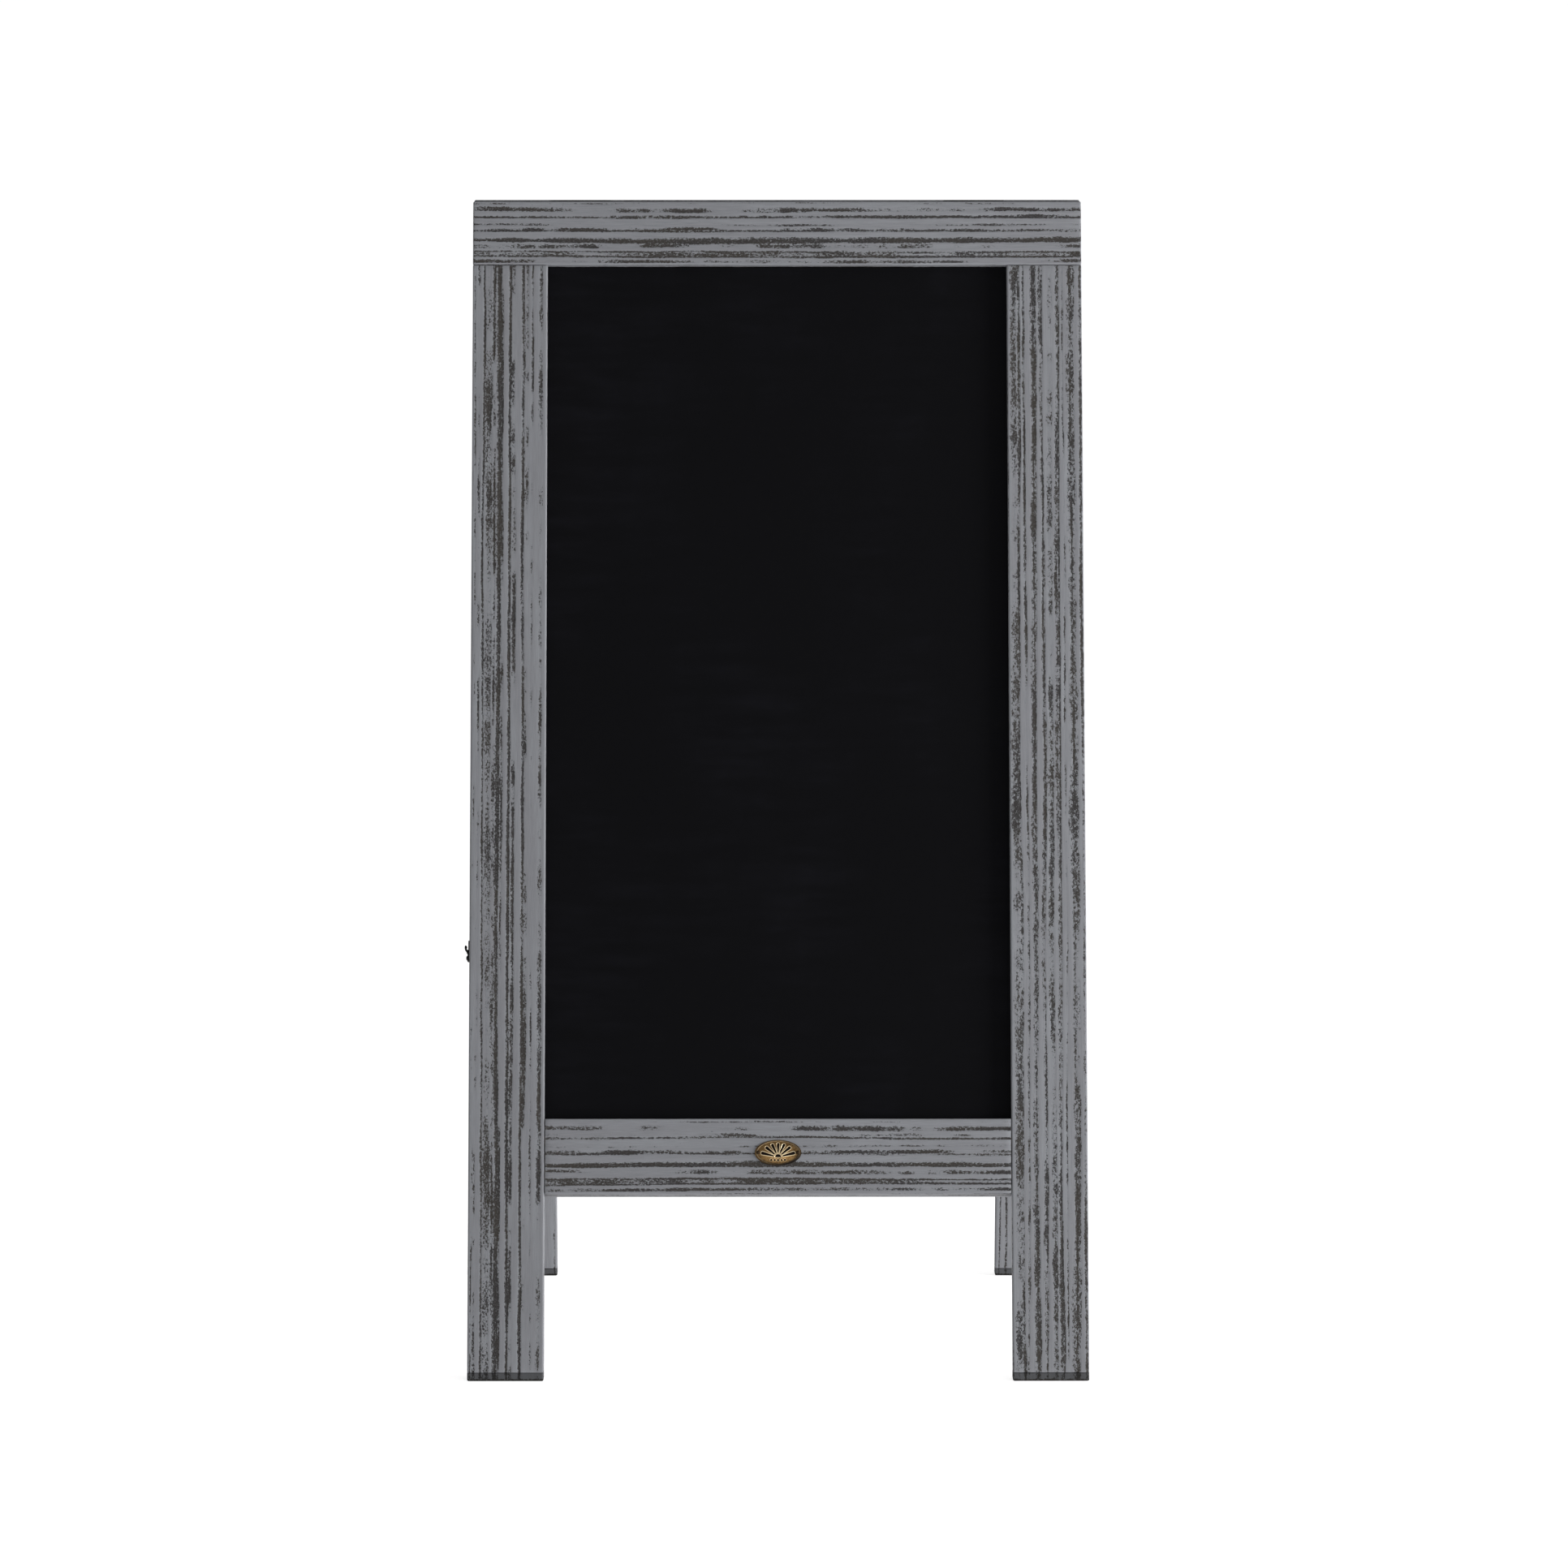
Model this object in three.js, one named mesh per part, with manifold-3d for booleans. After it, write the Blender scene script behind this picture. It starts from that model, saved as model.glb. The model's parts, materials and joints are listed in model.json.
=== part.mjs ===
// A-frame menu chalkboard: two identical timber frames with a recessed writing board each,
// hinged at the ridge, held open by two limit chains and held shut by a drop latch on one side.
// Millimetres, +Z up. The front frame leans back from -Y, the rear frame mirrors it on +Y.
// The origin is on the floor, below the middle of the object's box.

import * as THREE from 'three';
import { mergeVertices } from 'three/addons/utils/BufferGeometryUtils.js';
import Module from 'manifold-3d';

const wasm = await Module();
wasm.setup();

// ---------------------------------------------------------------- driving dimensions

const FRAME_WIDTH = 508;
const LEG_LENGTH = 995; // along the outer face, from the top edge to the floor
const LEAN = THREE.MathUtils.degToRad(17); // each frame, from upright
const TIMBER_DEPTH = 18;
const STILE_WIDTH = 62.5;
const TOP_RAIL_HEIGHT = 55;
const BOTTOM_RAIL_HEIGHT = 62.5;
const BOTTOM_RAIL_DROP = 777.5; // from the top edge down to the bottom rail
const ARRIS = 1.5; // rounding of the long timber edges
const FOOT_HEIGHT = 6.4;
const FOOT_ROUNDING = 1.4; // less than the arris, which it runs into
const GAP = 0.3; // between pieces that touch

const BOARD_RECESS = 8;
const SHEET_THICKNESS = 0.8;
const BACKER_THICKNESS = 3;
const GROOVE_DEPTH = 6;

const DOWEL_RADIUS = 4;
const DOWEL_LENGTH = 30;
const DOWEL_SIDES = 12;

// The ridge axis runs along X. Both frames keep these distances from it.
const AXIS_RISE = 0.8; // above the top faces of the rails
const HALF_GAP = 0.5; // from the inner face of each frame

const HINGE_OFFSET = 165; // from the middle of the frame
const LEAF_LENGTH = 50;
const LEAF_REACH = 17;
const LEAF_THICKNESS = 1.5;
const KNUCKLE_RADIUS = 2.1;
const PIN_RADIUS = 1.05;
const PIN_CLEARANCE = 0.1;

const BADGE_WIDTH = 38.2;
const BADGE_HEIGHT = 21.2;
const BADGE_DROP = 806.1; // from the top edge to its centre
const BADGE_NAIL_OFFSET = 16.3;

const CHAIN_DROP = 560; // from the ridge axis, along the leg
const CHAIN_INSET = 3.5; // from the ridge plane of the frame
const CHAIN_STANDOFF = 3.2; // from the stile's side face to the chain's middle
const CHAIN_RADIUS = 2.8;
const CHAIN_SAG = 7;

const CATCH_DROP = 627; // from the top edge to the catch plate's upper end
const CATCH_LENGTH = 17.9;
const CATCH_WIDTH = 9;
const CATCH_INSET = 7;
const LIP_WIDTH = 5;
const LIP_THICKNESS = 1.5;
const LATCH_PLATE = 0.7; // sheet thickness of both latch plates
const CATCH_PROUD = 4.1;
const ARM_REST_DROP = 6.4; // from the catch plate's upper end to the latched arm's middle
const ARM_WIDTH = 6;
const ARM_REACH = 23;
const PIVOT_INSET = 9.5;

// ---------------------------------------------------------------- derived places

const OUTER = -(HALF_GAP + TIMBER_DEPTH); // outer face, in a frame's own y
const INNER = -HALF_GAP;
const MIDDLE = (OUTER + INNER) / 2;
const TOP = -AXIS_RISE; // top face, in a frame's own z
const HALF_WIDTH = FRAME_WIDTH / 2;
const HALF_OPENING = HALF_WIDTH - STILE_WIDTH;
const RAIL_UNDERSIDE = TOP - TOP_RAIL_HEIGHT;
const LOWER_RAIL_TOP = TOP - BOTTOM_RAIL_DROP;
const LOWER_RAIL_UNDERSIDE = LOWER_RAIL_TOP - BOTTOM_RAIL_HEIGHT;
const SHEET_FACE = OUTER + BOARD_RECESS;
const BACKER_FACE = SHEET_FACE + SHEET_THICKNESS + GAP;
const BACKER_BACK = BACKER_FACE + BACKER_THICKNESS;
const RIDGE_HEIGHT = (LEG_LENGTH + AXIS_RISE) * Math.cos(LEAN) + OUTER * Math.sin(LEAN);
const FLOOR_REACH = (LEG_LENGTH + AXIS_RISE) * Math.sin(LEAN) - OUTER * Math.cos(LEAN);
const LATCHED_DROP = AXIS_RISE + CATCH_DROP + ARM_REST_DROP;

// ---------------------------------------------------------------- materials

const material = (color, roughness, metalness) =>
  new THREE.MeshStandardMaterial({ color, roughness, metalness });
const LOOKS = {
  timber: [0x7d7f84, 0.75, 0],
  endWood: [0x48494b, 0.8, 0],
  dowelWood: [0xb08a5a, 0.8, 0],
  slate: [0x121213, 0.6, 0],
  hardboard: [0x4a3a2c, 0.85, 0],
  blackMetal: [0x101011, 0.45, 0.8],
  steel: [0x9a9a98, 0.4, 1],
  brass: [0x9a7440, 0.4, 1],
};

// ---------------------------------------------------------------- solids

function solidOf(geometry) {
  const bare = geometry.clone();
  bare.deleteAttribute('normal');
  bare.deleteAttribute('uv');
  const merged = mergeVertices(bare, 1e-4);
  const corners = merged.index.array;
  const kept = [];
  for (let i = 0; i < corners.length; i += 3) {
    const [a, b, c] = corners.slice(i, i + 3);
    if (a !== b && b !== c && c !== a) kept.push(a, b, c);
  }
  const vertProperties = new Float32Array(merged.attributes.position.array);
  const triVerts = new Uint32Array(kept);
  return new wasm.Manifold(new wasm.Mesh({ numProp: 3, vertProperties, triVerts }));
}

function geometryOf(solid) {
  const mesh = solid.getMesh();
  const geometry = new THREE.BufferGeometry();
  geometry.setAttribute('position', new THREE.BufferAttribute(mesh.vertProperties, 3));
  geometry.setIndex(new THREE.BufferAttribute(mesh.triVerts, 1));
  geometry.computeVertexNormals();
  return geometry;
}

const join = (first, ...others) => others.reduce((sum, part) => sum.add(part), first);
const cut = (first, ...tools) => tools.reduce((rest, tool) => rest.subtract(tool), first);

function box([x0, x1], [y0, y1], [z0, z1]) {
  const geometry = new THREE.BoxGeometry(x1 - x0, y1 - y0, z1 - z0);
  geometry.translate((x0 + x1) / 2, (y0 + y1) / 2, (z0 + z1) / 2);
  return solidOf(geometry);
}

// A turned solid: radii along an axis, as [radius, distance] pairs that start and end on the axis.
// The axis starts at `from` and points along `direction`.
function turned(profile, from, direction, segments = 20) {
  const points = profile.map(([radius, distance]) => new THREE.Vector2(radius, distance));
  const geometry = new THREE.LatheGeometry(points, segments);
  const up = new THREE.Vector3(0, 1, 0);
  const turn = new THREE.Quaternion().setFromUnitVectors(up, direction.clone().normalize());
  geometry.applyQuaternion(turn);
  geometry.translate(from.x, from.y, from.z);
  return solidOf(geometry);
}

const rod = (radius, length, from, direction, segments) =>
  turned([[0, 0], [radius, 0], [radius, length], [0, length]], from, direction, segments);

const at = (x, y, z) => new THREE.Vector3(x, y, z);
const ALONG_X = at(1, 0, 0);
const DOWN = at(0, 0, -1);
const INTO_FACE = at(0, 1, 0);

function roundedOutline(width, height, radius) {
  const shape = new THREE.Shape();
  const x = width / 2;
  const y = height / 2;
  shape.moveTo(-x + radius, -y);
  shape.lineTo(x - radius, -y);
  shape.absarc(x - radius, -y + radius, radius, -Math.PI / 2, 0);
  shape.lineTo(x, y - radius);
  shape.absarc(x - radius, y - radius, radius, 0, Math.PI / 2);
  shape.lineTo(-x + radius, y);
  shape.absarc(-x + radius, y - radius, radius, Math.PI / 2, Math.PI);
  shape.lineTo(-x, -y + radius);
  shape.absarc(-x + radius, -y + radius, radius, Math.PI, Math.PI * 1.5);
  return shape;
}

// A timber of rounded section, along X or along Z, filling the given spans.
function timber([x0, x1], [z0, z1], alongX) {
  const width = alongX ? z1 - z0 : x1 - x0;
  const length = alongX ? x1 - x0 : z1 - z0;
  const outline = roundedOutline(width, TIMBER_DEPTH, ARRIS);
  const options = { depth: length, bevelEnabled: false, curveSegments: 3 };
  const geometry = new THREE.ExtrudeGeometry(outline, options);
  geometry.translate(0, 0, -length / 2);
  if (alongX) geometry.rotateY(Math.PI / 2);
  geometry.translate((x0 + x1) / 2, MIDDLE, (z0 + z1) / 2);
  return solidOf(geometry);
}

// ---------------------------------------------------------------- scene

const easel = new THREE.Group();

function addPiece(parent, name, solid, look) {
  const [color, roughness, metalness] = LOOKS[look];
  const mesh = new THREE.Mesh(geometryOf(solid), material(color, roughness, metalness));
  mesh.name = name;
  parent.add(mesh);
}

// ---------------------------------------------------------------- shared details

const SCREW_SPOTS = [-15, 15];
const LEAF_SCREW_Y = -10.5;
const SCREW_HEAD_RADIUS = 3.1;
const SCREW_RADIUS = 1.4;
const SCREW_LENGTH = 16;

function countersunkScrew(from, direction, headRadius, shankRadius, length) {
  const headDepth = headRadius - shankRadius;
  const profile = [
    [0, 0],
    [headRadius, 0],
    [headRadius, 0.2],
    [shankRadius, 0.2 + headDepth],
    [shankRadius, length - 2 * shankRadius],
    [0, length],
  ];
  return turned(profile, from, direction, 14);
}

// The hole that a countersunk screw needs, GAP wider than the screw all round.
function countersunkHole(from, direction, headRadius, shankRadius, length) {
  const wide = headRadius + GAP;
  const narrow = shankRadius + GAP;
  const start = from.clone().addScaledVector(direction, -1);
  const profile = [
    [0, 0],
    [wide, 0],
    [wide, 1.2],
    [narrow, 1.2 + wide - narrow],
    [narrow, length + 1 + GAP],
    [0, length + 1 + GAP],
  ];
  return turned(profile, start, direction, 14);
}

// ---------------------------------------------------------------- timber frame

function hingeRecess(centre) {
  const half = LEAF_LENGTH / 2 + GAP;
  const tipRoom = half + 2.5;
  const bed = TOP - LEAF_THICKNESS - GAP;
  const mortise = box([centre - half, centre + half], [-LEAF_REACH - GAP, 1], [bed, 1]);
  const knuckleRoom = rod(KNUCKLE_RADIUS + 0.4, 2 * tipRoom, at(centre - tipRoom, 0, 0), ALONG_X);
  const holes = SCREW_SPOTS.map((spot) =>
    rod(SCREW_RADIUS + GAP, SCREW_LENGTH + 1, at(centre + spot, LEAF_SCREW_Y, TOP), DOWN, 12));
  return join(mortise, knuckleRoom, ...holes);
}

const DOWEL_ROOM = DOWEL_LENGTH / 2 + GAP;
const UPPER_DOWEL_X = HALF_WIDTH - STILE_WIDTH / 2;
const LOWER_DOWEL_SPOTS = [0.28, 0.72].map((share) => LOWER_RAIL_TOP - share * BOTTOM_RAIL_HEIGHT);

function boardGroove() {
  const reach = HALF_OPENING + GROOVE_DEPTH;
  return box([-reach, reach], [SHEET_FACE - GAP, BACKER_BACK + GAP],
    [LOWER_RAIL_TOP - GROOVE_DEPTH, RAIL_UNDERSIDE + GROOVE_DEPTH]);
}

function upperDowelHole(side) {
  const from = at(side * UPPER_DOWEL_X, MIDDLE, RAIL_UNDERSIDE + DOWEL_ROOM);
  return rod(DOWEL_RADIUS + GAP, 2 * DOWEL_ROOM + GAP, from, DOWN, DOWEL_SIDES);
}

function lowerDowelHole(side, height) {
  const from = at(side * HALF_OPENING - DOWEL_ROOM, MIDDLE, height);
  return rod(DOWEL_RADIUS + GAP, 2 * DOWEL_ROOM, from, ALONG_X, DOWEL_SIDES);
}

function topRail() {
  const rail = timber([-HALF_WIDTH, HALF_WIDTH], [RAIL_UNDERSIDE, TOP], true);
  const hinges = [-1, 1].map((side) => hingeRecess(side * HINGE_OFFSET));
  return cut(rail, boardGroove(), ...hinges, upperDowelHole(-1), upperDowelHole(1));
}

function bottomRail() {
  const reach = HALF_OPENING - GAP;
  const rail = timber([-reach, reach], [LOWER_RAIL_UNDERSIDE, LOWER_RAIL_TOP], true);
  const dowelHoles = [-1, 1].flatMap((side) =>
    LOWER_DOWEL_SPOTS.map((height) => lowerDowelHole(side, height)));
  return cut(rail, boardGroove(), ...dowelHoles);
}

// The floor as it lies in a frame's own axes, raised by the foot, used to cut the leg level.
function belowFoot() {
  const slab = new THREE.BoxGeometry(2 * FRAME_WIDTH, 2 * FRAME_WIDTH, 100);
  slab.translate(0, -FLOOR_REACH, FOOT_HEIGHT + GAP - 50 - RIDGE_HEIGHT);
  slab.rotateX(LEAN);
  return solidOf(slab);
}

function stile(side) {
  const inner = side * HALF_OPENING;
  const outer = side * HALF_WIDTH;
  const span = [Math.min(inner, outer), Math.max(inner, outer)];
  const leg = timber(span, [-LEG_LENGTH - 20, RAIL_UNDERSIDE - GAP], false);
  const dowelHoles = LOWER_DOWEL_SPOTS.map((height) => lowerDowelHole(side, height));
  const chainHole = rod(CHAIN_SCREW_RADIUS + GAP, CHAIN_SCREW_BITE + GAP,
    at(inner, -CHAIN_INSET, -CHAIN_DROP), at(side, 0, 0), 12);
  return cut(leg, boardGroove(), upperDowelHole(side), ...dowelHoles, chainHole, belowFoot());
}

// A foot pad under one leg end: the leg's level section, leaning with the leg, rounded below.
function foot() {
  const outline = roundedOutline(STILE_WIDTH, TIMBER_DEPTH / Math.cos(LEAN), ARRIS);
  const options = {
    depth: FOOT_HEIGHT,
    curveSegments: 3,
    bevelSize: FOOT_ROUNDING,
    bevelOffset: -FOOT_ROUNDING,
    bevelThickness: FOOT_ROUNDING,
    bevelSegments: 3,
  };
  const geometry = new THREE.ExtrudeGeometry(outline, options);
  geometry.translate(0, 0, FOOT_ROUNDING);
  const lean = new THREE.Matrix4().makeShear(0, 0, 0, 0, 0, Math.tan(LEAN));
  geometry.applyMatrix4(lean);
  return cut(solidOf(geometry), box([-60, 60], [-60, 60], [FOOT_HEIGHT, 40]));
}

const dowelProfile = [
  [0, 0],
  [DOWEL_RADIUS - 0.8, 0],
  [DOWEL_RADIUS, 1],
  [DOWEL_RADIUS, DOWEL_LENGTH - 1],
  [DOWEL_RADIUS - 0.8, DOWEL_LENGTH],
  [0, DOWEL_LENGTH],
];

function boardPanel([y0, y1]) {
  const reach = HALF_OPENING + GROOVE_DEPTH - 0.6;
  const heights = [LOWER_RAIL_TOP - GROOVE_DEPTH + 0.6, RAIL_UNDERSIDE + GROOVE_DEPTH - 0.6];
  return box([-reach, reach], [y0, y1], heights);
}

// ---------------------------------------------------------------- ridge hinges

const KNUCKLES = 3;
const KNUCKLE_LENGTH = LEAF_LENGTH / KNUCKLES;

// One leaf with its share of the knuckles: the middle one, or the two outer ones.
function hingeLeaf(centre, ownsMiddle) {
  const half = LEAF_LENGTH / 2;
  const plate = box([centre - half, centre + half], [-LEAF_REACH, -0.5], [TOP - LEAF_THICKNESS, TOP]);
  const spans = [-1, 0, 1].map((slot) => ({ slot, start: centre + (slot - 0.5) * KNUCKLE_LENGTH }));
  const own = spans.filter(({ slot }) => (slot === 0) === ownsMiddle);
  const others = spans.filter(({ slot }) => (slot === 0) !== ownsMiddle);
  const knuckles = own.map(({ start }) =>
    rod(KNUCKLE_RADIUS, KNUCKLE_LENGTH - GAP, at(start + GAP / 2, 0, 0), ALONG_X));
  const clearances = others.map(({ start }) =>
    rod(KNUCKLE_RADIUS + GAP, KNUCKLE_LENGTH + GAP, at(start - GAP / 2, 0, 0), ALONG_X));
  const bore = rod(PIN_RADIUS + PIN_CLEARANCE, LEAF_LENGTH + 2, at(centre - half - 1, 0, 0), ALONG_X);
  const holes = SCREW_SPOTS.map((spot) => countersunkHole(
    at(centre + spot, LEAF_SCREW_Y, TOP), DOWN, SCREW_HEAD_RADIUS, SCREW_RADIUS, 6));
  return cut(join(cut(plate, ...clearances), ...knuckles), bore, ...holes);
}

function hingePin(centre) {
  const half = LEAF_LENGTH / 2;
  const tip = PIN_RADIUS * 1.5;
  const profile = [
    [0, 0],
    [tip * 0.7, 0.4],
    [tip, 1],
    [tip, 1.6],
    [PIN_RADIUS, 1.7],
    [PIN_RADIUS, LEAF_LENGTH + 2.1],
    [tip, LEAF_LENGTH + 2.2],
    [tip, LEAF_LENGTH + 2.8],
    [tip * 0.7, LEAF_LENGTH + 3.4],
    [0, LEAF_LENGTH + 3.8],
  ];
  return turned(profile, at(centre - half - 1.9, 0, 0), ALONG_X);
}

// ---------------------------------------------------------------- limit chains

const CHAIN_SCREW_RADIUS = 1.2;
const CHAIN_SCREW_BITE = 14;

// A shouldered round-head screw in the stile's side face, which the chain's end link hangs on.
function chainScrew(side) {
  const faceToHead = CHAIN_STANDOFF + 1;
  const profile = [
    [0, 0],
    [1.6, 0.2],
    [2.5, 0.9],
    [2.6, 1.6],
    [CHAIN_SCREW_RADIUS, 1.6],
    [CHAIN_SCREW_RADIUS, 1.6 + faceToHead - 2.2],
    [2.2, 1.6 + faceToHead - 2.2],
    [2.2, 1.6 + faceToHead - GAP],
    [CHAIN_SCREW_RADIUS, 1.6 + faceToHead - GAP],
    [CHAIN_SCREW_RADIUS, 1.6 + faceToHead + CHAIN_SCREW_BITE - 2.5],
    [0, 1.6 + faceToHead + CHAIN_SCREW_BITE],
  ];
  const from = at(side * (HALF_OPENING - faceToHead - 1.6), -CHAIN_INSET, -CHAIN_DROP);
  return turned(profile, from, at(side, 0, 0), 16);
}

// The chain's outer shape, as one slim bar that sags a little between its two screws.
function limitChain(side) {
  const anchorY = CHAIN_DROP * Math.sin(LEAN) + CHAIN_INSET * Math.cos(LEAN);
  const anchorZ = RIDGE_HEIGHT - CHAIN_DROP * Math.cos(LEAN) + CHAIN_INSET * Math.sin(LEAN);
  const reach = anchorY - 3.4;
  const x = side * (HALF_OPENING - CHAIN_STANDOFF);
  const path = new THREE.QuadraticBezierCurve3(
    at(x, -reach, anchorZ), at(x, 0, anchorZ - 2 * CHAIN_SAG), at(x, reach, anchorZ));
  const section = new THREE.Shape();
  section.absarc(0, 0, CHAIN_RADIUS, 0, 2 * Math.PI);
  const options = { steps: 14, curveSegments: 4, bevelEnabled: false, extrudePath: path };
  return solidOf(new THREE.ExtrudeGeometry(section, options));
}

// ---------------------------------------------------------------- badge

const BADGE_Z = TOP - BADGE_DROP;
const NAIL_RADIUS = 0.7;
const NAIL_BITE = 8;

// A plain domed oval with a raised rim, turned as a disc and stretched along X.
function badge() {
  const radius = BADGE_HEIGHT / 2;
  const profile = [
    [0, 0],
    [radius - 0.3, 0],
    [radius, 0.4],
    [radius - 0.2, 1],
    [radius - 1, 1.3],
    [radius - 1.6, 1.15],
    [radius * 0.66, 1.65],
    [radius * 0.4, 2],
    [0, 2.2],
  ];
  const points = profile.map(([r, h]) => new THREE.Vector2(r, h));
  const geometry = new THREE.LatheGeometry(points, 36);
  geometry.scale(BADGE_WIDTH / BADGE_HEIGHT, 1, 1);
  geometry.rotateX(Math.PI);
  geometry.translate(0, OUTER - GAP, BADGE_Z);
  const holes = [-1, 1].map((side) => badgeNailHole(side));
  return cut(solidOf(geometry), ...holes);
}

function badgeNailHole(side) {
  const from = at(side * BADGE_NAIL_OFFSET, OUTER - 5, BADGE_Z);
  return rod(NAIL_RADIUS + GAP, NAIL_BITE + 7, from, INTO_FACE, 12);
}

function badgeNail(side) {
  const headTop = OUTER - 2.7;
  const profile = [
    [0, 0],
    [0.9, 0.12],
    [1.5, 0.6],
    [1.5, 0.85],
    [NAIL_RADIUS, 0.85],
    [NAIL_RADIUS, NAIL_BITE],
    [0, NAIL_BITE + 1.5],
  ];
  return turned(profile, at(side * BADGE_NAIL_OFFSET, headTop, BADGE_Z), INTO_FACE, 16);
}

// ---------------------------------------------------------------- drop latch

const CATCH_TOP = TOP - CATCH_DROP;
const LOWER_SCREW_DROP = 14.6;
const UPPER_SCREW_DROP = 2.3;
const LATCH_SCREW_BITE = 9;

// A plate outline in a stile's side face, with rounded ends, from the face outwards (towards -X).
function sidePlate(face, middleY, topZ, width, length, outward) {
  const outline = roundedOutline(width, length, width * 0.42);
  const options = { depth: LATCH_PLATE, bevelEnabled: false, curveSegments: 6 };
  const geometry = new THREE.ExtrudeGeometry(outline, options);
  geometry.rotateX(Math.PI / 2);
  geometry.rotateZ(outward * Math.PI / 2);
  geometry.translate(face + outward * GAP, middleY, topZ - length / 2);
  return solidOf(geometry);
}

// The catch's lip: a thick strip that leaves the plate, runs outwards and turns up at its tip.
function catchLip() {
  const half = LIP_THICKNESS / 2;
  const root = GAP + half;
  const crest = CATCH_PROUD - half;
  const line = new THREE.CatmullRomCurve3([
    at(root, -12, 0),
    at(root, -10.9, 0),
    at(1.95, -9, 0),
    at(crest - 0.25, -7.3, 0),
    at(crest, -6.2, 0),
    at(crest - 0.15, -5.2, 0),
    at(crest - 0.35, -4.5, 0),
  ]);
  const points = line.getPoints(24);
  const outline = new THREE.Shape();
  const edge = (sign) => points.map((point, i) => {
    const ahead = points[Math.min(i + 1, points.length - 1)];
    const behind = points[Math.max(i - 1, 0)];
    const run = ahead.clone().sub(behind).normalize();
    return new THREE.Vector2(point.x - sign * run.y * half, point.y + sign * run.x * half);
  });
  outline.setFromPoints([...edge(1), ...edge(-1).reverse()]);
  const options = { depth: LIP_WIDTH, bevelEnabled: false };
  const geometry = new THREE.ExtrudeGeometry(outline, options);
  // Outline x is the height off the stile's side, outline y the drop along the leg.
  const place = new THREE.Matrix4().makeBasis(at(-1, 0, 0), at(0, 0, 1), at(0, 1, 0));
  geometry.applyMatrix4(place);
  geometry.translate(-HALF_WIDTH, -CATCH_INSET - LIP_WIDTH / 2, CATCH_TOP);
  return solidOf(geometry);
}

const catchSpot = (drop, proud) => at(-HALF_WIDTH - proud, -CATCH_INSET, CATCH_TOP - drop);

function catchPlate() {
  const plate = sidePlate(-HALF_WIDTH, -CATCH_INSET, CATCH_TOP, CATCH_WIDTH, CATCH_LENGTH, -1);
  const bossProfile = [[0, 0], [3, 0], [2.9, 1.1], [2.5, 1.5], [0, 1.5]];
  const boss = turned(bossProfile, catchSpot(LOWER_SCREW_DROP + 0.3, GAP + 0.1), at(-1, 0, 0));
  const upper = countersunkHole(catchSpot(UPPER_SCREW_DROP, GAP + LATCH_PLATE), ALONG_X, 1.35, 0.8, 4);
  const lower = rod(1.1, 8, catchSpot(LOWER_SCREW_DROP, 4), ALONG_X, 12);
  return cut(join(plate, catchLip(), boss), upper, lower);
}

function roundHeadScrew(from, direction, headRadius, headHeight, shankRadius, length) {
  const profile = [
    [0, 0],
    [headRadius * 0.6, headHeight * 0.15],
    [headRadius * 0.92, headHeight * 0.5],
    [headRadius, headHeight],
    [shankRadius, headHeight],
    [shankRadius, length - 2],
    [0, length],
  ];
  return turned(profile, from, direction, 16);
}

const catchScrewHoles = () => [UPPER_SCREW_DROP, LOWER_SCREW_DROP].map((drop) =>
  rod(1.1, LATCH_SCREW_BITE + 2, catchSpot(drop, 1), ALONG_X, 12));

// Pivot plate on the other frame's stile, seen in that frame's own axes, where it faces +X.
const PIVOT_Z = -LATCHED_DROP;
const PIVOT_SCREW_RISES = [6.5, 13];
const RIVET_RADIUS = 1.2;
const pivotSpot = (rise, proud) => at(HALF_WIDTH + proud, -PIVOT_INSET, PIVOT_Z + rise);
const TOWARDS_TIMBER = at(-1, 0, 0);

function pivotPlate() {
  const plate = sidePlate(HALF_WIDTH, -PIVOT_INSET, PIVOT_Z + 17, 10, 24, 1);
  const holes = PIVOT_SCREW_RISES.map((rise) => countersunkHole(
    pivotSpot(rise, GAP + LATCH_PLATE), TOWARDS_TIMBER, 1.5, 0.8, 4));
  return cut(plate, ...holes, rod(RIVET_RADIUS + GAP, 6, pivotSpot(0, 3), TOWARDS_TIMBER, 16));
}

function pivotHoles() {
  const screws = PIVOT_SCREW_RISES.map((rise) =>
    rod(1.1, LATCH_SCREW_BITE + 2, pivotSpot(rise, 1), TOWARDS_TIMBER, 12));
  return [...screws, rod(RIVET_RADIUS + GAP, 8, pivotSpot(0, 1), TOWARDS_TIMBER, 16)];
}

function pivotRivet() {
  const armTop = GAP + LATCH_PLATE + GAP + LATCH_PLATE;
  const headBase = armTop + GAP;
  const headHeight = 0.8;
  return roundHeadScrew(pivotSpot(0, headBase + headHeight), TOWARDS_TIMBER, 2.4, headHeight,
    RIVET_RADIUS, headBase + headHeight + 6);
}

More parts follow.
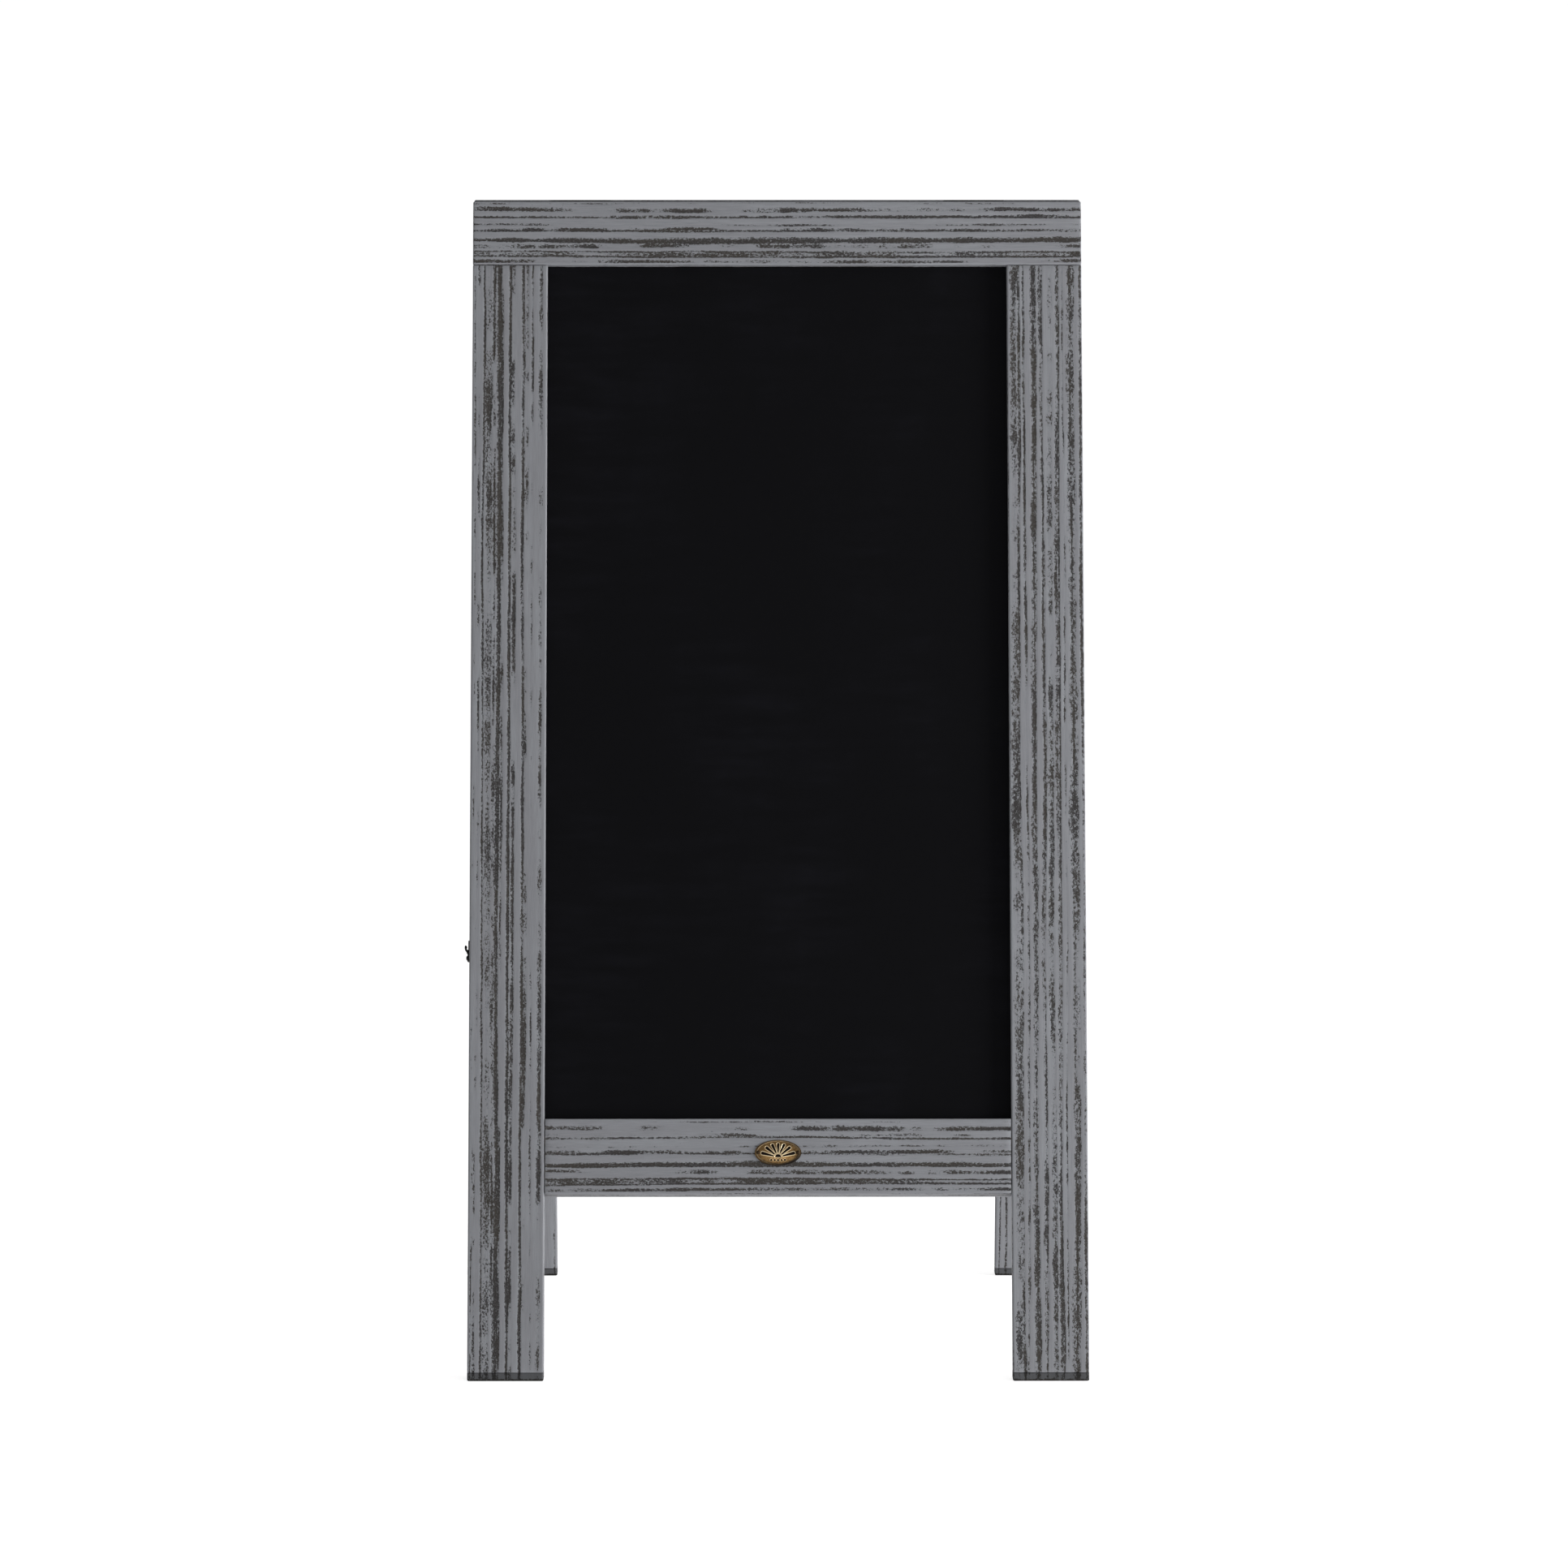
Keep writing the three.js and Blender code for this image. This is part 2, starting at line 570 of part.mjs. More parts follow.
// The swinging arm, hanging from its rivet at the origin: a strip with a round eye and a notch
// in its rear edge that drops astride the catch's lip.
function latchArm() {
  const half = ARM_WIDTH / 2;
  const eye = 4;
  const shape = new THREE.Shape();
  const lipDistance = PIVOT_INSET + CATCH_INSET;
  const notchHalf = LIP_WIDTH / 2 + GAP;
  const notch = [lipDistance - notchHalf, lipDistance + notchHalf];
  const neck = Math.sqrt(eye * eye - half * half);
  const open = Math.asin(half / eye);
  // Outline x is the distance down the arm, outline y the distance to its rear.
  shape.moveTo(neck, half);
  shape.lineTo(notch[0], half);
  shape.lineTo(notch[0], half - 2);
  shape.lineTo(notch[1], half - 2);
  shape.lineTo(notch[1], half);
  shape.lineTo(ARM_REACH - 2, half);
  shape.absarc(ARM_REACH - 2, half - 2, 2, Math.PI / 2, 0, true);
  shape.lineTo(ARM_REACH, -half + 2);
  shape.absarc(ARM_REACH - 2, -half + 2, 2, 0, -Math.PI / 2, true);
  shape.lineTo(neck, -half);
  shape.absarc(0, 0, eye, -open, -2 * Math.PI + open, true);
  const hole = new THREE.Path();
  hole.absarc(0, 0, RIVET_RADIUS + PIN_CLEARANCE, 0, 2 * Math.PI);
  shape.holes.push(hole);
  const options = { depth: LATCH_PLATE, bevelEnabled: false, curveSegments: 16 };
  const geometry = new THREE.ExtrudeGeometry(shape, options);
  const place = new THREE.Matrix4().makeBasis(DOWN, INTO_FACE, ALONG_X);
  geometry.applyMatrix4(place);
  return solidOf(geometry);
}

// ---------------------------------------------------------------- assembly

// A frame in its own axes: the ridge axis is its origin, its outer face looks to -y.
// `sides` names the stile on -x and the one on +x.
function addFrame(parent, label, sides, ownsMiddleKnuckle, fittings) {
  const stileSolids = [stile(-1), stile(1)];
  let lowerRail = bottomRail();
  if (fittings === 'catch') {
    stileSolids[0] = cut(stileSolids[0], ...catchScrewHoles());
    lowerRail = cut(lowerRail, badgeNailHole(-1), badgeNailHole(1));
  } else {
    stileSolids[1] = cut(stileSolids[1], ...pivotHoles());
  }
  addPiece(parent, `${label}_top_rail`, topRail(), 'timber');
  addPiece(parent, `${label}_bottom_rail`, lowerRail, 'timber');
  addPiece(parent, `${label}_chalkboard`, boardPanel([SHEET_FACE, SHEET_FACE + SHEET_THICKNESS]), 'slate');
  addPiece(parent, `${label}_backer`, boardPanel([BACKER_FACE, BACKER_BACK]), 'hardboard');
  [-1, 1].forEach((side, i) => {
    const name = sides[i];
    addPiece(parent, `${label}_stile_${name}`, stileSolids[i], 'timber');
    const upperDowel = turned(dowelProfile,
      at(side * UPPER_DOWEL_X, MIDDLE, RAIL_UNDERSIDE + DOWEL_LENGTH / 2), DOWN, DOWEL_SIDES);
    addPiece(parent, `${label}_upper_dowel_${name}`, upperDowel, 'dowelWood');
    LOWER_DOWEL_SPOTS.forEach((height, row) => {
      const from = at(side * HALF_OPENING - DOWEL_LENGTH / 2, MIDDLE, height);
      const lowerDowel = turned(dowelProfile, from, ALONG_X, DOWEL_SIDES);
      addPiece(parent, `${label}_lower_dowel_${name}_${row + 1}`, lowerDowel, 'dowelWood');
    });
    const centre = side * HINGE_OFFSET;
    addPiece(parent, `${label}_hinge_leaf_${name}`, hingeLeaf(centre, ownsMiddleKnuckle), 'blackMetal');
    SCREW_SPOTS.forEach((spot, row) => {
      const from = at(centre + spot, LEAF_SCREW_Y, TOP);
      const screw = countersunkScrew(from, DOWN, SCREW_HEAD_RADIUS, SCREW_RADIUS, SCREW_LENGTH);
      addPiece(parent, `${label}_hinge_screw_${name}_${row + 1}`, screw, 'blackMetal');
    });
    addPiece(parent, `${label}_chain_screw_${name}`, chainScrew(side), 'steel');
  });
}

// Turns a group into a frame's own axes: leaning, with its ridge axis at the ridge.
function leaningGroup(facing) {
  const turnedGroup = new THREE.Group();
  turnedGroup.rotation.z = facing;
  const leaning = new THREE.Group();
  leaning.rotation.x = -LEAN;
  leaning.position.z = RIDGE_HEIGHT;
  turnedGroup.add(leaning);
  easel.add(turnedGroup);
  return { upright: turnedGroup, leaning };
}

const front = leaningGroup(0);
addFrame(front.leaning, 'front', ['left', 'right'], true, 'catch');
addPiece(front.leaning, 'badge_plate', badge(), 'brass');
addPiece(front.leaning, 'badge_nail_left', badgeNail(-1), 'brass');
addPiece(front.leaning, 'badge_nail_right', badgeNail(1), 'brass');
addPiece(front.leaning, 'latch_catch', catchPlate(), 'blackMetal');
addPiece(front.leaning, 'latch_catch_screw_upper', countersunkScrew(
  catchSpot(UPPER_SCREW_DROP, GAP + LATCH_PLATE), ALONG_X, 1.35, 0.8, LATCH_SCREW_BITE), 'blackMetal');
addPiece(front.leaning, 'latch_catch_screw_lower', roundHeadScrew(
  catchSpot(LOWER_SCREW_DROP, 2.85), ALONG_X, 1.9, 0.9, 0.8, LATCH_SCREW_BITE + 2), 'blackMetal');
addPiece(front.leaning, 'hinge_pin_left', hingePin(-HINGE_OFFSET), 'blackMetal');
addPiece(front.leaning, 'hinge_pin_right', hingePin(HINGE_OFFSET), 'blackMetal');

// Seen from the front, the rear frame's own -x side is the right one.
const rear = leaningGroup(Math.PI);
addFrame(rear.leaning, 'rear', ['right', 'left'], false, 'pivot');
addPiece(rear.leaning, 'latch_pivot_plate', pivotPlate(), 'blackMetal');
addPiece(rear.leaning, 'latch_rivet', pivotRivet(), 'steel');
PIVOT_SCREW_RISES.forEach((rise, row) => {
  const from = pivotSpot(rise, GAP + LATCH_PLATE);
  const screw = countersunkScrew(from, TOWARDS_TIMBER, 1.5, 0.8, LATCH_SCREW_BITE);
  addPiece(rear.leaning, `latch_pivot_screw_${row + 1}`, screw, 'blackMetal');
});

function addFeet(upright, label, sides) {
  [-1, 1].forEach((side, i) => {
    addPiece(upright, `${label}_foot_${sides[i]}`, foot(), 'endWood');
    const pad = upright.children[upright.children.length - 1];
    pad.position.set(side * UPPER_DOWEL_X, -FLOOR_REACH + TIMBER_DEPTH / Math.cos(LEAN) / 2, 0);
  });
}

addFeet(front.upright, 'front', ['left', 'right']);
addFeet(rear.upright, 'rear', ['right', 'left']);

addPiece(easel, 'limit_chain_left', limitChain(-1), 'steel');
addPiece(easel, 'limit_chain_right', limitChain(1), 'steel');

// The arm hangs straight down from its rivet, whatever the lean of the frame.
addPiece(easel, 'latch_arm', latchArm(), 'blackMetal');
const arm = easel.children[easel.children.length - 1];
arm.position.set(
  -HALF_WIDTH - GAP - LATCH_PLATE - GAP - LATCH_PLATE,
  LATCHED_DROP * Math.sin(LEAN) + PIVOT_INSET * Math.cos(LEAN),
  RIDGE_HEIGHT - LATCHED_DROP * Math.cos(LEAN) + PIVOT_INSET * Math.sin(LEAN),
);

// The catch stands proud on one side only, so the whole object moves over by half of that.
easel.position.x = CATCH_PROUD / 2;

export default easel;
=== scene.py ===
import json
import math

import bmesh
import bpy
import numpy as np
from mathutils import Matrix, Vector


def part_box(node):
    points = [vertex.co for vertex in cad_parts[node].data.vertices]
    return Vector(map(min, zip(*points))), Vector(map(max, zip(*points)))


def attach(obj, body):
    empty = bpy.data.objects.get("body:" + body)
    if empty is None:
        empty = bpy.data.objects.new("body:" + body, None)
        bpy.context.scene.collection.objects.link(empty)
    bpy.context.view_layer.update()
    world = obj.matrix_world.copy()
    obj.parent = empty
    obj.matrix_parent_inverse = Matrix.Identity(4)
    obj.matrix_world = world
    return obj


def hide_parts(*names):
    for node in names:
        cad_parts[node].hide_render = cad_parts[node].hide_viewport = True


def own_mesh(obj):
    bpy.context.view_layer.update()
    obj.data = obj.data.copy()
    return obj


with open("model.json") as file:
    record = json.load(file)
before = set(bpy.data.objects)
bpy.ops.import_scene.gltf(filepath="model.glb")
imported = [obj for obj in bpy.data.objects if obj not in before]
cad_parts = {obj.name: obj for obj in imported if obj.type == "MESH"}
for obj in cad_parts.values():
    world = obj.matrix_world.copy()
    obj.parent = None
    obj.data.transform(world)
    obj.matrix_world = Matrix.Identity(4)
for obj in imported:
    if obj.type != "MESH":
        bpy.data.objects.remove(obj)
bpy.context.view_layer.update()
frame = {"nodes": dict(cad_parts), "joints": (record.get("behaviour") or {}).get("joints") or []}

MM = 0.001
NODES = frame["nodes"]
SIDES = ("left", "right")
X, Y, Z = 0, 1, 2
GAP = 0.3 * MM  # between pieces that touch


# ---------------------------------------------------------------- frame axes

ridge_fold = next(joint for joint in frame["joints"] if joint["name"] == "ridge_fold")
RIDGE = Vector(ridge_fold["pos_m"])
LEAN = math.radians(ridge_fold["range_deg"][1]) / 2

# A frame's own axes: x across, y from its outer face inwards, z up along the legs, and the
# ridge axis as origin. The rear frame is the front one turned half round.
leaning = Matrix.Rotation(-LEAN, 4, "X")
AXES = {
    "front": Matrix.Translation(RIDGE) @ leaning,
    "rear": Matrix.Translation(RIDGE) @ Matrix.Rotation(math.pi, 4, "Z") @ leaning,
}


def moved(points, matrix):
    """Points, one a row, through a 4x4 matrix."""
    full = np.array(matrix)
    return np.asarray(points) @ full[:3, :3].T + full[:3, 3]


def points_of(mesh):
    flat = np.zeros(len(mesh.vertices) * 3)
    mesh.vertices.foreach_get("co", flat)
    return flat.reshape(-1, 3)


def own_box(node, label):
    """Lowest and highest corner of a CAD node in a frame's own axes."""
    own = moved(points_of(NODES[node].data), AXES[label].inverted())
    return own.min(0), own.max(0)


def driven(node, label, axis, sign=1):
    """Where a turned CAD node starts, with z along its length: from its low end, or with
    sign -1 from its high end, along x, y or z of its frame."""
    low, high = own_box(node, label)
    start = (low + high) / 2
    start[axis] = low[axis] if sign > 0 else high[axis]
    direction = Vector([sign if i == axis else 0 for i in range(3)])
    turn = Vector((0, 0, 1)).rotation_difference(direction).to_matrix().to_4x4()
    return AXES[label] @ Matrix.Translation(Vector(start)) @ turn


# ---------------------------------------------------------------- meshes

def new_object(name, points, faces):
    mesh = bpy.data.meshes.new(name)
    mesh.from_pydata([tuple(p) for p in points], [], [tuple(f) for f in faces])
    obj = bpy.data.objects.new(name, mesh)
    bpy.context.scene.collection.objects.link(obj)
    return obj


BOX_FACES = [(0, 1, 3, 2), (4, 6, 7, 5), (0, 4, 5, 1), (2, 3, 7, 6), (0, 2, 6, 4), (1, 5, 7, 3)]


def box(low, high, matrix):
    """Points and faces of a box between two corners, in the matrix's axes."""
    corners = [(x, y, z) for x in (low[0], high[0])
               for y in (low[1], high[1]) for z in (low[2], high[2])]
    return moved(corners, matrix), BOX_FACES


def turned(profile, matrix, segments=32):
    """Points and faces of a solid turned about the matrix's z axis. The profile is a list of
    (radius, height) pairs, in millimetres, that starts and ends on the axis."""
    rings = profile[1:-1]
    turns = [2 * math.pi * i / segments for i in range(segments)]
    points = [(0, 0, profile[0][1])]
    points += [(r * math.cos(a), r * math.sin(a), h) for r, h in rings for a in turns]
    points.append((0, 0, profile[-1][1]))
    last = len(points) - 1
    top = 1 + (len(rings) - 1) * segments
    faces = []
    for i in range(segments):
        j = (i + 1) % segments
        faces.append((0, 1 + j, 1 + i))
        faces.append((last, top + i, top + j))
        for low in range(1, top, segments):
            high = low + segments
            faces.append((low + i, low + j, high + j, high + i))
    return moved(np.array(points) * MM, matrix), faces


def combined(parts):
    """One list of points and one of faces, from several (points, faces) pairs."""
    points, faces, start = [], [], 0
    for part_points, part_faces in parts:
        points.append(np.asarray(part_points))
        faces += [tuple(start + i for i in face) for face in part_faces]
        start += len(part_points)
    return np.concatenate(points), faces


def apply_modifiers(obj):
    graph = bpy.context.evaluated_depsgraph_get()
    mesh = bpy.data.meshes.new_from_object(obj.evaluated_get(graph))
    obj.modifiers.clear()
    obj.data = mesh


def carve(obj, solids, operation="DIFFERENCE"):
    """Cuts solids, given as (points, faces) pairs, out of an object, one after another. With
    the operation UNION it joins them on instead."""
    tools = []
    for points, faces in solids:
        tool = new_object("tool", points, faces)
        modifier = obj.modifiers.new("carve", "BOOLEAN")
        modifier.operation = operation
        modifier.solver = "MANIFOLD"
        modifier.object = tool
        tools.append(tool)
    apply_modifiers(obj)
    for tool in tools:
        bpy.data.objects.remove(tool)


def bevel(obj, width, segments=2, degrees=40):
    modifier = obj.modifiers.new("bevel", "BEVEL")
    modifier.width = width
    modifier.segments = segments
    modifier.limit_method = "ANGLE"
    modifier.angle_limit = math.radians(degrees)
    apply_modifiers(obj)


def smooth_within(obj, degrees):
    """Smooth shading, with creases where faces meet at more than that angle."""
    obj.data.shade_smooth()
    obj.data.set_sharp_from_angle(angle=math.radians(degrees))


def stands_for(obj, body, slot, look, *nodes):
    """Gives a new piece its body, the CAD nodes it is shown for, and its finish."""
    obj.data.materials.clear()
    obj.data.materials.append(look)
    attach(obj, body)
    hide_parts(*nodes)


# ---------------------------------------------------------------- node materials

def linear(red, green, blue):
    """A colour given in 0 to 255 display values, as the linear colour that shaders take."""
    values = [c / 255 for c in (red, green, blue)]
    return (*[c / 12.92 if c < 0.04045 else ((c + 0.055) / 1.055) ** 2.4 for c in values], 1)


class Look:
    """A node material. Each call adds a node and returns its output."""

    def __init__(self, name, **constants):
        self.material = bpy.data.materials.new(name)
        self.material.use_nodes = True
        self.tree = self.material.node_tree
        self.shader = self.tree.nodes["Principled BSDF"]
        self.set(**constants)

    def put(self, socket, value):
        if isinstance(value, bpy.types.NodeSocket):
            self.tree.links.new(value, socket)
        else:
            socket.default_value = value

    def set(self, **inputs):
        for name, value in inputs.items():
            self.put(self.shader.inputs[name.replace("_", " ")], value)

    def node(self, kind, inputs, output=0, **settings):
        made = self.tree.nodes.new("ShaderNode" + kind)
        for name, value in settings.items():
            setattr(made, name, value)
        for name, value in inputs.items():
            self.put(made.inputs[name], value)
        return made.outputs[output]

    def attribute(self, name, output):
        return self.node("Attribute", {}, output, attribute_name=name)

    def place(self):
        return self.node("TexCoord", {}, "Object")

    def scaled(self, vector, scale):
        return self.node("Mapping", {"Vector": vector, "Scale": scale})

    def noise(self, vector, scale, detail=2.0, roughness=0.5):
        return self.node("TexNoise", {"Vector": self.scaled(vector, scale), "Scale": 1.0,
                                      "Detail": detail, "Roughness": roughness})

    def maths(self, operation, first, second):
        return self.node("Math", {0: first, 1: second}, operation=operation)

    def between(self, value, low, high, to_low=0.0, to_high=1.0):
        """Smooth step of a value from low to high."""
        return self.node("MapRange", {"Value": value, "From Min": low, "From Max": high,
                                      "To Min": to_low, "To Max": to_high},
                         interpolation_type="SMOOTHSTEP")

    def mix(self, share, first, second, blend="MIX"):
        made = self.tree.nodes.new("ShaderNodeMix")
        made.data_type = "RGBA"
        made.blend_type = blend
        for index, value in ((0, share), (6, first), (7, second)):
            self.put(made.inputs[index], value)
        return made.outputs[2]

    def bump(self, height, distance, strength=1.0):
        return self.node("Bump", {"Height": height, "Distance": distance, "Strength": strength})


def painted_wood(name, shade):
    """Thin cool-grey paint on brushed wood. The streak attribute says where brushing has opened
    the grain. It also carries painted light: fainter streaks over the arrises as a painted
    highlight, and a painted shade along the feet's lower edge. Noise makes the streaks' edges
    ragged, leaves paint flecks in them and scatters specks."""
    def tint(red, green, blue):
        return linear(red * shade, green * shade, blue * shade)

    look = Look(name, Specular_IOR_Level=0.2)
    streak = look.attribute("streak", "Fac")
    place = look.attribute("grain_place", "Vector")
    tufts = look.noise(place, (0.66, 0.66, 0.4), detail=4, roughness=0.8)
    blobs = look.noise(place, (0.22, 0.22, 0.05), detail=3, roughness=0.6)
    fibres = look.noise(place, (2.4, 2.4, 0.07), detail=3, roughness=0.6)
    flecks = look.noise(place, (0.95, 0.95, 0.5), detail=4, roughness=0.75)
    bands = look.noise(place, (0.17, 0.17, 0.006), detail=2)
    clouds = look.noise(place, (0.035, 0.035, 0.012), detail=3)
    specks = look.noise(place, (0.50, 0.50, 0.22), detail=3, roughness=0.7)

    uneven = look.maths("MULTIPLY", look.maths("SUBTRACT", tufts, 0.5), 3.8)
    uneven = look.maths("ADD", uneven, look.maths("SUBTRACT", blobs, 0.5))
    uneven = look.maths("MULTIPLY", uneven, look.between(streak, 0.0, 0.35, 0.15, 1.0))
    open_grain = look.maths("ADD", streak, uneven)
    bare = look.between(open_grain, 0.40, 0.58)
    left_paint = look.between(flecks, 0.54, 0.68, 0.0, 0.6)
    bare = look.maths("MULTIPLY", bare, look.maths("SUBTRACT", 1.0, left_paint))
    bare = look.maths("MAXIMUM", bare, look.between(specks, 0.70, 0.76, 0.0, 0.85))
    thin = look.between(open_grain, 0.0, 0.5, 0.0, 0.35)

    paint = look.mix(look.between(bands, 0.35, 0.65), tint(115, 116, 120), tint(121, 123, 127))
    paint = look.mix(look.between(clouds, 0.35, 0.65, 0.0, 0.5), paint, tint(112, 113, 117))
    brushed = look.between(fibres, 0.3, 0.7, 0.88, 1.05)
    brushed = look.node("CombineColor", {0: brushed, 1: brushed, 2: brushed})
    paint = look.mix(1.0, paint, brushed, "MULTIPLY")
    paint = look.mix(thin, paint, tint(90, 90, 92))
    dark = look.mix(look.between(clouds, 0.4, 0.6), tint(45, 43, 43), tint(50, 47, 44))
    look.set(Base_Color=look.mix(bare, paint, dark),
             Roughness=look.between(bare, 0.0, 1.0, 0.58, 0.85))
    relief = look.maths("SUBTRACT", look.maths("MULTIPLY", fibres, 0.35), bare)
    look.set(Normal=look.bump(relief, 0.12 * MM, 0.6))
    return look.material


def bare_wood(name):
    """Pale turned dowel stock."""
    look = Look(name, Specular_IOR_Level=0.3, Roughness=0.75)
    rings = look.noise(look.place(), (900, 900, 60), detail=3)
    look.set(Base_Color=look.mix(look.between(rings, 0.35, 0.65), linear(186, 148, 102),
                                 linear(150, 112, 72)))
    look.set(Normal=look.bump(rings, 0.08 * MM, 0.5))
    return look.material


def writing_board(name):
    """Matt black chalkboard paint: fine tooth, faint wiped-chalk clouds."""
    look = Look(name, Specular_IOR_Level=0.03)
    place = look.place()
    tooth = look.noise(place, (2600, 2600, 2600), detail=2)
    wiped = look.noise(place, (9, 9, 4), detail=5, roughness=0.62)
    strokes = look.noise(place, (14, 14, 90), detail=3, roughness=0.6)
    haze = look.maths("MULTIPLY", look.between(wiped, 0.42, 0.75), look.between(strokes, 0.3, 0.8))
    look.set(Base_Color=look.mix(look.maths("MULTIPLY", haze, 0.6), linear(10, 10, 12),
                                 linear(19, 19, 23)),
             Roughness=look.between(wiped, 0.3, 0.7, 0.62, 0.78),
             Normal=look.bump(tooth, 0.05 * MM, 0.5))
    return look.material


def pressed_board(name):
    """Brown hardboard with its fibre flecks."""
    look = Look(name, Specular_IOR_Level=0.25, Roughness=0.85)
    place = look.place()
    fibre = look.noise(place, (420, 420, 240), detail=6, roughness=0.75)
    cloud = look.noise(place, (20, 20, 20), detail=3)
    brown = look.mix(look.between(fibre, 0.35, 0.65), linear(84, 64, 47), linear(114, 90, 68))
    look.set(Base_Color=look.mix(look.between(cloud, 0.35, 0.65, 0.0, 0.25), brown,
                                 linear(80, 62, 46)),
             Normal=look.bump(fibre, 0.1 * MM, 0.6))
    return look.material


def dark_metal(name):
    """Black painted hardware, a little uneven, with a satin gloss."""
    look = Look(name, Metallic=0.0, Specular_IOR_Level=0.2)
    place = look.place()
    peel = look.noise(place, (1400, 1400, 1400), detail=2)
    tone = look.noise(place, (420, 420, 420), detail=4, roughness=0.65)
    look.set(Base_Color=look.mix(look.between(tone, 0.5, 0.75), linear(7, 7, 8),
                                 linear(22, 21, 20)),
             Roughness=look.between(tone, 0.35, 0.7, 0.4, 0.6),
             Normal=look.bump(peel, 0.03 * MM, 0.5))
    return look.material


def plated_steel(name):
    look = Look(name, Metallic=1.0)
    place = look.place()
    dull = look.noise(place, (900, 900, 900), detail=4, roughness=0.65)
    scratches = look.noise(place, (4200, 700, 4200), detail=2)
    look.set(Base_Color=look.mix(look.between(dull, 0.4, 0.7), linear(196, 195, 190),
                                 linear(150, 148, 142)),
             Roughness=look.between(dull, 0.35, 0.7, 0.24, 0.46),
             Normal=look.bump(scratches, 0.01 * MM, 0.4))
    return look.material


def aged_brass(name):
    """Cast brass, dark in its engraving and, as painted shade, towards its rim; bright on its
    raised edges, from rubbed wear with a painted highlight.
    """
    look = Look(name, Metallic=0.85)
    place = look.place()
    engraved = look.attribute("engraved", "Fac")
    rubbed_and_highlight = look.attribute("rubbed_and_highlight", "Fac")
    blotches = look.noise(place, (520, 520, 520), detail=5, roughness=0.7)
    grit = look.noise(place, (2400, 2400, 2400), detail=3)
    brass = look.mix(look.between(blotches, 0.35, 0.65), linear(104, 76, 42),
                     linear(178, 142, 90))
    # Raised edges go near-white: rubbed brass with a painted highlight on it.
    brass = look.mix(rubbed_and_highlight, brass, linear(255, 236, 196))
    patches = look.between(blotches, 0.42, 0.66, 0.0, 0.7)
    darkening = look.maths("MAXIMUM", patches, look.between(grit, 0.62, 0.72, 0.0, 0.6))
    darkening = look.maths("MULTIPLY", darkening, look.maths("SUBTRACT", 1.0, rubbed_and_highlight))
    # The engraved attribute also brings painted shade towards the rim into this darkening.
    darkening = look.maths("MAXIMUM", engraved, darkening)
    look.set(Base_Color=look.mix(darkening, brass, linear(20, 15, 11)),
             Roughness=look.between(darkening, 0.0, 1.0, 0.3, 0.7),
             Normal=look.bump(grit, 0.03 * MM, 0.5))
    return look.material


def studio_floor(name):
    """A pale floor lit from below, as a light table is, so that shadows on it stay faint."""
    look = Look(name, Specular_IOR_Level=0.0, Roughness=0.9, Emission_Strength=0.75,
                Emission_Color=(1, 1, 1, 1))
    cloud = look.noise(look.place(), (0.6, 0.6, 0.6), detail=2)
    look.set(Base_Color=look.mix(cloud, (0.86, 0.86, 0.86, 1), (0.88, 0.88, 0.88, 1)))
    return look.material


LOOKS = {
    "grey_wash_wood": painted_wood("grey_wash_wood", 1.0),
    "foot_wood": painted_wood("foot_wood", 0.58),
    "dowel_wood": bare_wood("dowel_wood"),
    "chalk_sheet": writing_board("chalk_sheet"),
    "hardboard": pressed_board("hardboard"),
    "black_metal": dark_metal("black_metal"),
    "steel": plated_steel("steel"),
    "antique_brass": aged_brass("antique_brass"),
}


# ---------------------------------------------------------------- timber grain

def knots(rng, length, reach, share):
    """Random values from -share to share, reach millimetres apart along a timber."""
    count = int(length / reach) + 6
    return reach, rng.uniform(-share, share, count)


def wander(along, reach, values):
    """The knots' values at places along the timber, joined by smooth steps."""
    raw = along / reach + 2
    low = np.clip(raw.astype(int), 0, len(values) - 2)
    share = np.clip(raw - low, 0, 1)
    share = share * share * (3 - 2 * share)
    return values[low] * (1 - share) + values[low + 1] * share


RING_SPACING = 4.2  # of the growth rings, in millimetres


